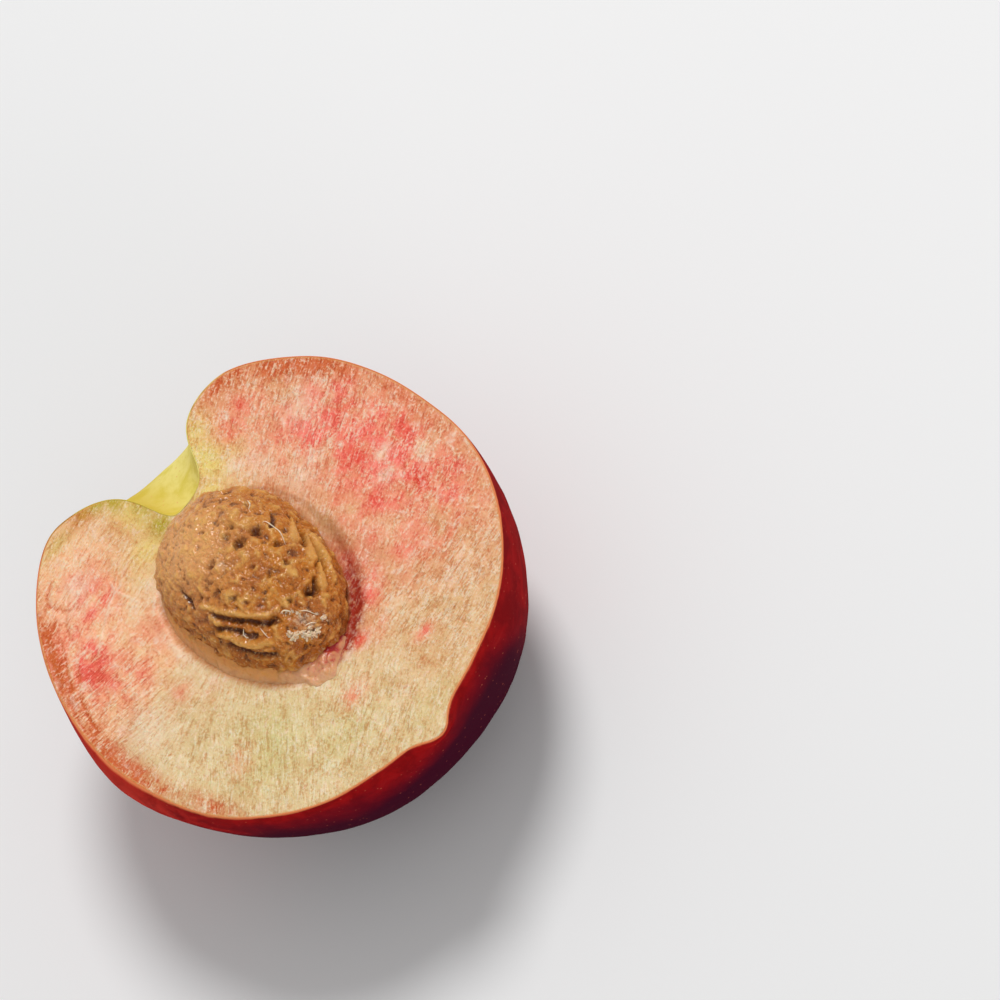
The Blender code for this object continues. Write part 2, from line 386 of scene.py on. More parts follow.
class Nodes:
    """Short calls for building a material's node tree."""

    def __init__(self, name):
        self.material = bpy.data.materials.new(name)
        self.material.use_nodes = True
        self.tree = self.material.node_tree
        self.shader = self.tree.nodes["Principled BSDF"]

    def add(self, kind, settings=None, **inputs):
        node = self.tree.nodes.new("ShaderNode" + kind)
        for key, value in (settings or {}).items():
            setattr(node, key, value)
        for key, value in inputs.items():
            self.feed(node.inputs[key.replace("_", " ")], value)
        return node

    def feed(self, socket, value):
        if isinstance(value, bpy.types.NodeSocket):
            self.tree.links.new(value, socket)
        else:
            socket.default_value = value

    def attribute(self, name):
        return self.add("Attribute", {"attribute_name": name}).outputs["Fac"]

    def place(self, rotation=(0.0, 0.0, 0.0), scale=(1.0, 1.0, 1.0)):
        """Object coordinates, turned and scaled, so that a texture can run in one direction."""
        where = self.add("TexCoord").outputs["Object"]
        turned = self.add("VectorRotate", {"rotation_type": "EULER_XYZ"}, Vector=where)
        turned.inputs["Rotation"].default_value = rotation
        sized = self.add("VectorMath", {"operation": "MULTIPLY"})
        self.tree.links.new(turned.outputs["Vector"], sized.inputs[0])
        sized.inputs[1].default_value = scale
        return sized.outputs["Vector"]

    def texture(self, scale, detail, roughness, distortion=0.0, vector=None):
        """Noise of 0 to 1, in plain object coordinates unless told otherwise."""
        node = self.add("TexNoise", Scale=scale, Detail=detail, Roughness=roughness,
                        Distortion=distortion, Vector=self.place() if vector is None else vector)
        return node.outputs["Fac"]

    def centred(self, *settings):
        """The same noise, from -0.5 to 0.5."""
        return self.math("SUBTRACT", self.texture(*settings), 0.5)

    def math(self, operation, first, second=0.0, third=0.0):
        node = self.add("Math", {"operation": operation})
        self.feed(node.inputs[0], first)
        self.feed(node.inputs[1], second)
        self.feed(node.inputs[2], third)
        return node.outputs[0]

    def scaled(self, value, factor, plus):
        """value * factor + plus"""
        return self.math("MULTIPLY_ADD", value, factor, plus)

    def span(self, value, low, high, to_low=0.0, to_high=1.0):
        """Stretch low..high of a value to to_low..to_high, smoothly and without passing them."""
        node = self.add("MapRange", {"interpolation_type": "SMOOTHSTEP"}, Value=value,
                        From_Min=low, From_Max=high, To_Min=to_low, To_Max=to_high)
        return node.outputs["Result"]

    def mix(self, share, first, second, blend="MIX"):
        """Lay the second colour over the first. Each is a socket or display values out of 255."""
        node = self.add("Mix", {"data_type": "RGBA", "blend_type": blend})
        for place, value in ((0, share), (6, first), (7, second)):
            self.feed(node.inputs[place], srgb(*value) if isinstance(value, tuple) else value)
        return node.outputs[2]

    def bump(self, height, strength, distance, normal=None):
        node = self.add("Bump", Height=height, Strength=strength, Distance=distance)
        if normal is not None:
            self.tree.links.new(normal, node.inputs["Normal"])
        return node.outputs["Normal"]

    def finish(self, colour, roughness, normal=None, **constants):
        self.feed(self.shader.inputs["Base Color"], colour)
        self.feed(self.shader.inputs["Roughness"], roughness)
        if normal is not None:
            self.tree.links.new(normal, self.shader.inputs["Normal"])
        for key, value in constants.items():
            self.shader.inputs[key.replace("_", " ")].default_value = value
        return self.material


# The cut fibres run along these turns from +X, in degrees, blended from place to place.
STREAK_TURNS = (-8.0, 12.0, 28.0, 45.0)


def fine_streaks(n):
    """Fine fibres that follow the painted turn, as noise of about -0.25 to 0.25."""
    turn = n.attribute("fibre_turn")
    total = 0.0
    for index, angle in enumerate(STREAK_TURNS):
        along = n.place((0.0, 0.0, -math.radians(angle)), (0.22, 1.0, 0.3))
        streaks = n.texture(2100.0, 3.0, 0.6, 0.9, along)
        off = n.math("ABSOLUTE", n.math("SUBTRACT", turn, float(index)))
        share = n.math("MAXIMUM", n.math("SUBTRACT", 1.0, off), 0.0)
        total = n.scaled(n.math("SUBTRACT", streaks, 0.5), share, total)
    return total


# The tones laid over the flesh, in order: the mask's name, the colour, and how much less of it the
# tops of the fibres take.
FLUSHES = [
    ("lime", (216, 202, 134), 1.0), ("pink", (250, 116, 98), 2.0), ("red", (238, 70, 44), 1.6),
    ("orange", (214, 102, 36), 2.4), ("yellow", (240, 216, 122), 0.8), ("olive", (192, 168, 34), 1.0),
    # The grey tone is painted shade on the flesh beside the stone.
    ("grey_shade", (204, 158, 108), 1.0), ("pale", (250, 222, 192), 1.0), ("wall", (226, 156, 96), 1.0),
    ("stain", (168, 48, 28), 0.9)]


def flesh_material():
    """Wet pale flesh with streaky fibres, flushed with the painted tones, one of them a grey painted shade
    beside the stone; with painted highlights on the fibre tops, painted shade in the grooves between them
    and painted light on the left side.
    """
    n = Nodes("wet_flesh")
    streaks = fine_streaks(n)
    cells = n.centred(2500.0, 2.0, 0.55)
    patches = n.centred(240.0, 3.0, 0.55)
    milky = n.centred(620.0, 3.0, 0.55, 0.5)
    strength = n.scaled(n.attribute("rough"), 1.2, 0.65)
    uneven = n.scaled(n.scaled(cells, 0.6, streaks), strength, n.math("MULTIPLY", patches, 0.2))

    warm = n.mix(n.span(patches, -0.2, 0.2), (228, 170, 116), (238, 188, 140))
    # Painted light: the left side of the cut face is lightened.
    warm = n.mix(n.attribute("light"), warm, (255, 210, 158))
    cream = n.mix(n.span(patches, -0.2, 0.2), (224, 194, 138), (236, 210, 160))
    colour = n.mix(n.attribute("cream"), warm, cream)
    for name, tone, push in FLUSHES:
        share = n.scaled(uneven, -push, 1.0)
        colour = n.mix(n.math("MULTIPLY", share, n.attribute(name)), colour, tone)
    colour = n.mix(n.span(milky, 0.05, 0.25, 0.0, 0.45), colour, (252, 222, 200))
    colour = n.mix(n.span(milky, -0.05, -0.25, 0.0, 0.5), colour, (240, 190, 150), "MULTIPLY")
    # Painted highlight on the tops of the fibres and painted shade in the grooves between them.
    colour = n.mix(n.span(uneven, 0.0, 0.2), colour, (160, 142, 128), "SCREEN")
    colour = n.mix(n.span(uneven, 0.0, -0.22, 0.0, 0.6), colour, (226, 172, 124), "MULTIPLY")
    edge = n.span(n.attribute("edge"), 0.2, 1.0, 0.0, 0.75)
    colour = n.mix(edge, colour, (236, 160, 92))

    height = n.math("MULTIPLY", n.scaled(cells, 0.5, streaks), strength)
    normal = n.bump(height, 0.75, 0.0003)
    roughness = n.span(uneven, -0.2, 0.2, 0.48, 0.36)
    return n.finish(
        colour, roughness, normal, Subsurface_Weight=0.3, Subsurface_Radius=(1.0, 0.45, 0.22),
        Subsurface_Scale=0.0005, Specular_IOR_Level=0.35, Coat_Weight=0.08, Coat_Roughness=0.25)


def skin_material():
    """Smooth skin: crimson with a near black side, partly its own dark tone and partly painted shade,
    yellow green in and round the stem funnel.
    """
    n = Nodes("peach_skin")
    mottle = n.texture(260.0, 4.0, 0.65, 0.4)
    fine = n.texture(1500.0, 3.0, 0.6)
    wide = n.texture(70.0, 2.0, 0.5)
    red = n.mix(n.span(mottle, 0.35, 0.65), (132, 8, 12), (160, 15, 17))
    # The near black side: the skin's own darker tone, deepened by painted shade towards the bottom.
    dark = n.scaled(n.math("SUBTRACT", wide, 0.5), 0.8, n.attribute("dark"))
    colour = n.mix(n.span(dark, 0.1, 0.9), red, (62, 8, 30))
    bright = n.scaled(n.math("SUBTRACT", mottle, 0.5), 1.2, n.attribute("bright"))
    colour = n.mix(n.span(bright, 0.1, 0.95), colour, (204, 52, 40))
    edge = n.scaled(n.math("SUBTRACT", mottle, 0.5), 0.9, n.attribute("warm"))
    colour = n.mix(n.span(edge, 0.15, 0.9), colour, (232, 132, 84))
    ground = n.scaled(n.math("SUBTRACT", mottle, 0.5), 0.7, n.attribute("ground"))
    green = n.mix(n.span(mottle, 0.35, 0.65), (222, 204, 92), (240, 224, 134))
    green = n.mix(n.attribute("olive"), green, (206, 176, 62))
    colour = n.mix(n.span(ground, 0.2, 0.8), colour, green)
    dots = n.add("TexVoronoi", Vector=n.place(), Scale=900.0).outputs["Distance"]
    specks = n.math("MULTIPLY", n.span(dots, 0.16, 0.07), n.span(mottle, 0.4, 0.6, 0.05, 0.4))
    colour = n.mix(specks, colour, (226, 120, 92))
    normal = n.bump(n.scaled(fine, 0.4, mottle), 0.12, 0.0001)
    roughness = n.span(mottle, 0.3, 0.7, 0.38, 0.48)
    return n.finish(
        colour, roughness, normal, Specular_IOR_Level=0.0, Coat_Weight=0.05, Coat_Roughness=0.3)


def stone_material():
    """Golden brown shell with painted shade in its pits, paler on its worn tops and on its upper left
    side, where the paleness is partly painted light, damp, with painted glints.
    """
    n = Nodes("stone_shell")
    grain = n.centred(1500.0, 5.0, 0.75, 0.6)
    patches = n.texture(300.0, 3.0, 0.6)
    top = n.mix(n.span(patches, 0.3, 0.7), (182, 96, 8), (210, 126, 24))
    # Paler on the upper left side: partly the shell's paler tone and partly painted light.
    top = n.mix(n.attribute("pale"), top, (246, 178, 112))
    top = n.mix(n.attribute("ruddy"), top, (168, 86, 40))
    top = n.mix(n.math("MULTIPLY", n.attribute("ridge"), 0.8), top, (238, 180, 92))
    top = n.mix(n.span(grain, 0.05, 0.22, 0.0, 0.55), top, (246, 196, 118))
    top = n.mix(n.span(grain, -0.05, -0.22, 0.0, 0.55), top, (126, 64, 12))
    # Painted shade: the cavities, furrows, holes and the dips of the grain are darkened.
    deep = n.scaled(grain, -0.6, n.attribute("cavity"))
    colour = n.mix(n.span(deep, 0.05, 0.95), top, (100, 46, 8))
    # Painted highlight: small bright glints painted into the colour, where the shell is also glossier.
    glint_spots = n.texture(2600.0, 3.0, 0.6)
    colour = n.mix(n.span(glint_spots, 0.55, 0.75, 0.0, 0.6), colour, (250, 208, 146))
    film = n.scaled(grain, 1.6, n.attribute("film"))
    colour = n.mix(n.span(film, 0.35, 1.1, 0.0, 0.7), colour, (236, 206, 172))
    normal = n.bump(grain, 1.0, 0.00034)
    roughness = n.span(glint_spots, 0.4, 0.65, 0.5, 0.3)
    return n.finish(
        colour, roughness, normal, Subsurface_Weight=0.15, Subsurface_Radius=(1.0, 0.45, 0.2),
        Subsurface_Scale=0.0006, Specular_IOR_Level=0.2, Coat_Weight=0.5, Coat_Roughness=0.13)


# The flesh

def blobs(x, y, places):
    """The strongest of several soft round patches, each (x, y, half width, half length, strength)."""
    strongest = np.zeros(len(x))
    for centre_x, centre_y, wide, long, strength in places:
        patch = spot(x / MM, y / MM, centre_x, centre_y, wide, long)
        strongest = np.maximum(strongest, strength * patch)
    return strongest


# Soft patches on the cut face, in mm: place, half width along X and along Y, strength. They are
# tones, among them a grey painted shade on the flesh beside the stone's right, the brownish band
# inside the skin, and where the flesh is torn rather than smooth.
PATCHES = {
    "pink": [
        (25, 0, 9, 14, 0.9), (28, -12, 6, 8, 0.6), (23, 12, 9, 7, 0.85), (15, 22, 6, 5, 0.5),
        (18, 16, 8, 6, 0.35), (16, -5, 5, 9, 0.5), (18, -14, 6, 5, 0.5), (-19, 25, 5, 4, 0.45),
        (-19.5, 20, 4, 4, 0.85), (-27, 14, 6, 9, 0.85), (-24, 7, 8, 5, 0.45), (-19, 10, 6, 6, 0.35),
        (9.7, -25.7, 2.0, 1.0, 0.5), (-4, -24, 2.5, 2, 0.35), (-21, -1.5, 3, 2, 0.35),
        (-17, -5, 3, 2.5, 0.1), (-22, -17, 3, 2, 0.25), (11, -13, 4, 3, 0.5), (5, -19.5, 2.5, 2, 0.45),
        (11, -8.5, 3, 5, 0.8), (7.5, -14, 3, 3, 0.7)],
    "red": [
        (22.4, 2.6, 1.9, 1.5, 0.95), (20.8, 3.4, 2, 0.9, 0.5), (25.7, -8.4, 0.9, 1.5, 1.0),
        (25.5, -7.5, 2.2, 2.0, 0.45), (17, 1, 1.2, 1.2, 0.4), (14.6, -8.7, 1.6, 1.8, 0.35),
        (2.2, -18.4, 1.6, 1.2, 0.9), (30.2, -1.4, 1.0, 1.8, 0.6), (16.8, 24.4, 1.2, 1.6, 0.7),
        (19.5, -4.6, 2.2, 1.0, 0.5), (26, 10, 2.5, 1.5, 0.45), (23, -18, 2.2, 0.8, 0.4),
        (-17.5, 23, 1.5, 2.5, 0.3), (-27, 12, 2, 3, 0.35), (-29, 21, 1.2, 5, 0.35)],
    "orange": [
        (14, 28.5, 3.5, 2.2, 0.7), (20, 28, 3.4, 2.6, 1.1), (24.5, 24.5, 3.0, 3, 1.25),
        (25.5, 21, 3, 3.5, 0.7), (-10.8, 31.9, 2.4, 1.4, 1.0), (28.5, 19, 2, 4, 0.9),
        (32, 12, 1.6, 5, 0.5), (33, 2, 1.2, 6, 0.4), (-26, 27, 2.5, 3, 0.6), (-30, 21, 2.2, 5, 0.5),
        (-33, 13, 2.6, 5, 0.7), (-34, 5, 2.2, 5, 1.0), (-31, 4, 2.5, 4, 0.6), (-34, -4, 1.5, 5, 0.8),
        (-27, 2.5, 5, 2, 0.4), (-24, 25.5, 1.4, 2, 0.5), (-20, 9, 8, 3, 0.3)],
    "olive": [
        (-10.6, 31.9, 2.8, 1.3, 0.5), (-8.2, 31.4, 2.0, 1.5, 1.0), (-6.4, 29.4, 1.6, 2.2, 0.9),
        (-4.4, 24.6, 1.5, 4.0, 0.7), (-4.2, 20.4, 1.8, 2.0, 1.1), (-17, 31.8, 3.5, 1.3, 0.5)],
    "yellow": [
        (-2, 21, 2.2, 3, 0.8), (7.2, 22, 3.2, 6, 1.0), (3.5, 17.6, 3.5, 2.4, 1.0),
        (9.2, 27, 3.0, 3.4, 0.75), (10.5, 19.5, 2.5, 2.5, 0.4), (-6, 25, 2.8, 5, 0.7),
        (-8, 19, 3.5, 3, 0.8), (-11, 16, 4, 3, 0.4)],
    "lime": [
        (-18, -19, 7, 6, 0.8), (-9, -27, 7, 4, 0.5), (3, -35, 6, 3, 0.4)],
    # Grey painted shade on the flesh beside the stone's right.
    "grey_shade": [
        (11.8, -2, 1.6, 6, 0.8), (9.5, -10, 2.5, 2.5, 0.4), (12.5, -9, 2.5, 4, 0.4)],
    "pale": [
        (-16.4, 3, 0.7, 4, 0.6), (12.5, 14.5, 1.8, 3, 0.5), (9.5, 17.5, 2, 1.5, 0.5),
        (24.8, -0.4, 1.1, 1.0, 0.8), (26.0, -0.1, 1.0, 0.8, 0.7), (29, -6, 1.2, 1.0, 0.5),
        (-19.5, 24.0, 2.5, 2.0, 0.5), (-22, 21.5, 2.0, 1.5, 0.3), (17, 8, 2, 1.2, 0.4),
        (-28, -2, 4, 4, 0.5), (22.5, 15.5, 3.5, 3, 0.4), (23, -3.3, 1.5, 1.2, 0.6), (14.2, 7.2, 3, 3, 0.4),
        (-12, 14, 4, 3, 0.3)],
    "band": [
        (26, 20, 9, 9, 1.0), (17, 29, 5, 4, 0.7), (34, 2, 4, 12, 0.4), (-30, 18, 7, 13, 0.8),
        (-34, -2, 6, 10, 0.9), (-30, -18, 4, 6, 0.5), (8, 31, 4, 4, 0.3)],
    "torn": [
        (20, -24, 16, 10, 1.0), (28, -8, 9, 12, 1.0), (24, 14, 12, 14, 0.9), (10, 24, 8, 8, 0.7),
        (-26, 12, 7, 14, 0.35), (-8, -28, 14, 7, 0.5), (-22, -14, 10, 8, 0.4)]}
# The crimson stain round the stone: its strength by the bearing from the stone, in degrees.
STAIN_BEARINGS = (-130, -118, -106, -98, -90, -80, -72, -62, -50, -40, -28, -14, 2)
STAIN_STRENGTHS = (0.0, 0.2, 0.45, 0.8, 1.0, 1.0, 0.95, 1.0, 0.9, 0.7, 0.4, 0.15, 0.0)
# Fine veins and creases of the cut face, as lines in mm.
VEINS = [
    [(-11.4, 20.4), (-13.6, 19.5), (-15.0, 18.5), (-16.1, 18.6), (-18.2, 17.7), (-20.2, 16.5),
     (-22.8, 14.7), (-24.7, 13.3)],
    [(-15.7, 19.9), (-16.1, 18.6)],
    [(-16.1, 18.6), (-15.8, 17.4), (-15.4, 16.1), (-14.9, 13.6)],
    [(-13.1, 12.2), (-14.6, 11.1)]]
CREASES = [
    [(-24.2, 26.5), (-24.3, 25.0), (-23.5, 23.3), (-22.7, 22.1)],
    [(-25.1, 23.2), (-26.7, 22.0)],
    [(-23.3, 22.8), (-25.3, 20.1), (-25.9, 18.6)],
    [(-21.4, 28.5), (-23.9, 26.6)],
    [(-28.0, 22.7), (-29.7, 20.0)],
    [(-26.9, 20.2), (-28.9, 17.1), (-31.2, 12.9)],
    [(-29.9, 18.9), (-32.4, 14.5)],
    [(-27.5, 15.8), (-31.4, 10.5), (-33.1, 5.0)],
    [(-32.7, 12.3), (-34.3, 6.5)]]

# How the cut fibres run: places on the face, in mm, and the turn from +X there, in degrees.
FIBRE_TURNS = [
    (23, 16, 30), (27, -2, 22), (16, -26, 12), (-2, -33, 27), (-20, -21, 45), (-28, 6, -8),
    (-17, 24, 10), (8, 25, 35)]


def fibre_index(x, y):
    """Which of the streak turns the fibres follow at each place, as a number between them."""
    total = np.zeros(len(x))
    weight = np.zeros(len(x))
    for known_x, known_y, turn in FIBRE_TURNS:
        near = 1.0 / (((x / MM - known_x) ** 2 + (y / MM - known_y) ** 2) ** 1.5 + 1.0)
        total += near * turn
        weight += near
    return np.interp(total / weight, STREAK_TURNS, range(len(STREAK_TURNS)))


# Round the stone the flesh falls least at its stem end, deepest at its lower left and widest at its
# right.
DEEP_BEARING = math.radians(-150.0)
WIDE_BEARING = math.radians(-28.0)
LEAST_DROP = 0.2 * MM
LEAST_FALL_WIDTH = 0.45 * MM


def rim_drop(x, y):
    """How far, and over what width, the flesh falls to the stone, and how sharply it starts to."""
    bearing = np.arctan2(y - STONE_CENTRE[1], x - STONE_CENTRE[0])
    lower_left = ramp(-0.15, 0.75, np.cos(bearing - DEEP_BEARING))
    right = (0.5 + 0.5 * np.cos(bearing - WIDE_BEARING)) ** 5
    drop = LEAST_DROP + 0.45 * MM * lower_left + 0.8 * MM * right
    width = LEAST_FALL_WIDTH + 1.6 * MM * lower_left + 2.6 * MM * right
    return drop, width, lower_left, right


def inside_loop(points, loop):
    """Which points lie inside a closed loop, by counting its crossings."""
    inside = np.zeros(len(points), dtype=bool)
    x, y = points[:, 0], points[:, 1]
    following = np.roll(loop, -1, axis=0)
    for (ax, ay), (bx, by) in zip(loop, following):
        if ay == by:
            continue
        crosses = (ay > y) != (by > y)
        inside ^= crosses & (x < (bx - ax) * (y - ay) / (by - ay) + ax)
    return inside


def loop_distance(points, loop):
    """Each point's distance to the nearest point of a loop."""
    tree = kdtree.KDTree(len(loop))
    for index, (x, y) in enumerate(loop):
        tree.insert((x, y, 0.0), index)
    tree.balance()
    return np.array([tree.find((x, y, 0.0))[2] for x, y in points])


def cut_face_points(outer, rim):
    """An even lattice of points between the outline and the hollow's rim."""
    low, high = outer.min(axis=0), outer.max(axis=0)
    columns = np.arange(low[0], high[0], LATTICE)
    rows = np.arange(low[1], high[1], LATTICE * math.sqrt(0.75))
    x, y = np.meshgrid(columns, rows)
    x = x + np.where(np.arange(len(rows)) % 2 == 1, LATTICE / 2.0, 0.0)[:, None]
    points = np.stack([x.ravel(), y.ravel()], axis=-1)
    points = points[inside_loop(points, outer) & ~inside_loop(points, rim)]
    clear = np.minimum(loop_distance(points, outer), loop_distance(points, rim))
    return points[clear > LEAST_CLEARANCE]


def face_place(x, y):
    """Places on the cut face, in mm, as points for the noise."""
    return np.stack([x, y, np.zeros(len(x))], axis=-1) / MM


def torn_share(x, y):
    """How torn and granular the flesh is, 0 to 1, in clumps."""
    place = face_place(x, y)
    clumps = 0.75 + 1.4 * noise(place / 1.3, 37) + 0.8 * noise(place / 3.0, 31)
    return np.clip((0.3 + 0.7 * blobs(x, y, PATCHES["torn"])) * clumps, 0.0, 1.0)


def fibre_relief(place, index):
    """Relief drawn out along the fibres, about -1 to 1."""
    total = np.zeros(len(place))
    for number, angle in enumerate(STREAK_TURNS):
        turn = math.radians(angle)
        along = place[:, 0] * math.cos(turn) + place[:, 1] * math.sin(turn)
        across = place[:, 1] * math.cos(turn) - place[:, 0] * math.sin(turn)
        drawn_out = np.stack([along / 2.2, across / 0.55, place[:, 2]], axis=-1)
        streaks = fractal(drawn_out, 47 + 7 * number, octaves=2)
        total += np.maximum(0.0, 1.0 - np.abs(index - number)) * streaks
    return total


# The cut face's relief: heights and widths in mm, and the wrinkled patches as in PATCHES.
WAVE_HEIGHT = 0.16
RIPPLE_HEIGHT = 0.07
FIBRE_HEIGHT = 0.06
TORN_FIBRE_HEIGHT = 0.12
GRAIN_HEIGHT = 0.05
CREASE_DEPTH = 0.12
CREASE_WIDTH = 0.34
VEIN_HEIGHT = 0.08
VEIN_WIDTH = 0.2
EVEN_EDGE = 0.9 * MM            # the cut face is even along the skin
CUT_FACE_INSET = 0.015 * MM
WRINKLED = [(-30, 16, 5, 13, 1.0), (-24, 4, 6, 4, 0.6), (22, 24, 8, 5, 0.5)]


def crease_share(x, y):
    """How deep in a crease or a small fold each place of the cut face lies, 0 to 1."""
    place = face_place(x, y)
    bend = 1.2 * noise_vectors(place / 3.0, 61, 62)
    bent = np.column_stack([place[:, :2] + bend, place[:, 2]])
    folds = 1.0 - np.clip(np.abs(noise(bent / np.array([1.6, 3.6, 1.0]), 67)) / 0.16, 0.0, 1.0)
    folds = 0.4 * blobs(x, y, WRINKLED) * folds
    for crease in CREASES:
        gap, share = line_distance(place[:, :2] + 0.3 * bend, np.array(crease))
        mark = np.exp(-(gap / CREASE_WIDTH) ** 2) * ramp(0.0, 0.2, share + 0.05)
        folds = np.maximum(folds, mark)
    return folds


def cut_relief(x, y, outer, rim):
    """The cut face's height: soft waves, torn fibres, veins, and the fall to the stone's hollow."""
    flat = np.stack([x, y], axis=-1)
    to_edge = loop_distance(flat, outer)
    to_rim = loop_distance(flat, rim)
    place = face_place(x, y)
    rough = torn_share(x, y) * ramp(0.1 * MM, 1.2 * MM, to_rim)
    folds = crease_share(x, y)
    height = WAVE_HEIGHT * fractal(place / 7.0, 11) + RIPPLE_HEIGHT * fractal(place / 1.6, 23)
    height += (FIBRE_HEIGHT + TORN_FIBRE_HEIGHT * rough) * fibre_relief(place, fibre_index(x, y))
    height += GRAIN_HEIGHT * rough * fractal(place / 0.6, 29, octaves=2)
    height -= CREASE_DEPTH * folds
    for vein in VEINS:
        gap = line_distance(flat / MM, np.array(vein))[0]
        height += VEIN_HEIGHT * np.exp(-((gap + 0.1 * noise(place, 73)) / VEIN_WIDTH) ** 2)
    height *= MM * ramp(0.0, EVEN_EDGE, to_edge)
    height -= CUT_FACE_INSET
    drop, width, sharp, right = rim_drop(x, y)
    share = np.clip(to_rim / (width * (1.0 + 0.18 * noise(place / 3.2, 59))), 0.0, 1.0)
    fall = 0.6 * sharp * (1.0 - share) + (1.0 - 0.6 * sharp) * (1.0 - ramp(0.0, 1.0, share))
    height -= drop * fall
    bearing = np.degrees(np.arctan2(y - STONE_CENTRE[1], x - STONE_CENTRE[0]))
    blotch = 1.0 + 0.8 * noise(place / 1.1, 53) + 0.5 * noise(place / 0.5, 57)
    stain = 1.2 * np.interp(bearing, STAIN_BEARINGS, STAIN_STRENGTHS) * blotch
    tones = {
        "wall": sharp * ramp(1.0, 0.25, share), "folds": folds,
        "edge": ramp(0.42 * MM, 0.1 * MM, to_edge),
        "stain": stain * ramp(3.3 * MM, 0.8 * MM, to_rim),
        "shore": ramp(2.6 * MM, 0.8 * MM, to_rim) * (0.1 + 0.8 * right),
        "band": ramp(4.6 * MM, 1.0 * MM, to_edge)}
    return height, tones


def cut_face(outer, rim):
    """Triangles between the two loops: corners, faces, and each loop point's number among them."""
    flat = np.vstack([outer, rim, cut_face_points(outer, rim)]) / MM
    edges = []
    for loop in (np.arange(len(outer)), len(outer) + np.arange(len(rim))):
        edges += [(int(a), int(b)) for a, b in zip(loop, np.roll(loop, -1))]
    found = geometry.delaunay_2d_cdt([Vector(point) for point in flat], edges, [], 1, 1e-6)
    corners = np.array([tuple(point) for point in found[0]]) * MM
    numbers = {source: index for index, sources in enumerate(found[3]) for source in sources}
    triangles = np.array(found[2])
    triangles = triangles[~inside_loop(corners[triangles].mean(axis=1), rim)]
    return corners, triangles.tolist(), numbers


FLESH_ROWS = 14
FLESH_COLUMNS = 430
BEHIND_SKIN = 0.7 * MM
INSIDE_SKIN = SKIN_THICKNESS - 0.02 * MM
RIM_POINTS = 300
WALL_LEVELS = 10
WALL_TURN = math.radians(80.0)
WALL_INSET = 1.1 * MM           # how far inside the stone's hull the hollow's wall lies
WALL_STEP = 0.15 * MM


def hollow_wall(bearing, ring, heights, first):
    """The hollow's wall, which goes on down round the stone, out of sight, and is closed below it."""
    start = rim_directions(bearing)[:, 2]
    points = []
    faces = []
    for level in range(1, WALL_LEVELS + 1):
        fall = WALL_TURN * level / WALL_LEVELS
        directions = ring_directions(bearing, start * math.cos(fall) - math.sin(fall))
        wall = stone_hull(directions, -WALL_INSET)
        wall[:, 2] = np.minimum(wall[:, 2], heights - WALL_STEP * level)
        points.append(wall)
        following = list(range(first, first + len(ring)))
        first += len(ring)
        for k in range(len(ring)):
            after = (k + 1) % len(ring)
            faces.append((ring[k], ring[after], following[after], following[k]))
        ring = following
    points.append(stone_hull(np.array([[0.0, 0.0, -1.0]]), -WALL_INSET))
    faces += [(ring[k], ring[(k + 1) % len(ring)], first) for k in range(len(ring))]
    return points, faces


def flesh_tones(x, y, cut_tones, count):
    """The painted tones of all the flesh, whose first points are those of the cut face."""
    place = face_place(x, y)
    ragged = np.maximum(1.0 + 0.9 * fractal(place / 3.6, 71), 0.1)
    on_face = {name: np.zeros(len(x)) for name in cut_tones}
    on_face["wall"] += 1.0
    for name, values in cut_tones.items():
        on_face[name][:count] = values
    tones = {name: blobs(x, y, places) for name, places in PATCHES.items() if name != "torn"}
    band = on_face["band"] * tones.pop("band") * (1.3 + 0.7 * noise(place / 1.7, 79))
    tones["pink"] *= ragged
    tones["red"] *= 0.6 + 0.4 * ragged
    tones["orange"] = np.maximum(0.7 * tones["orange"] * ragged, band) + 0.5 * on_face["folds"]
    for vein in VEINS:
        gap = line_distance(place[:, :2], np.array(vein))[0]
        tones["pale"] = np.maximum(tones["pale"], 0.6 * np.exp(-(gap / 0.22) ** 2))
    x, y = x / MM, y / MM
    border = 2.0 - 19.0 * ramp(-13.0, 2.0, x) - 12.0 * ramp(4.0, 26.0, x)
    border += 2.0 * noise(place / 4.0, 77)
    tones["cream"] = ramp(border + 2.0, border - 3.0, y) * (1.0 - 0.6 * ramp(-8.0, 12.0, x))
    # Painted light: lighter towards the left side of the cut face.
    tones["light"] = ramp(-4.0, -24.0, x)
    by_funnel = ramp(9.0, 6.0, np.abs(x)) * ramp(14.0, 20.0, y)
    tones["edge"] = on_face["edge"] * (1.0 - by_funnel)
    tones["wall"] = on_face["wall"]
    tones["stain"] = on_face["stain"]
    rough = torn_share(x * MM, y * MM) * (1.0 - 0.8 * on_face["wall"]) * (1.0 - on_face["shore"])
    tones["rough"] = rough
    tones["fibre_turn"] = fibre_index(x * MM, y * MM)
    return tones


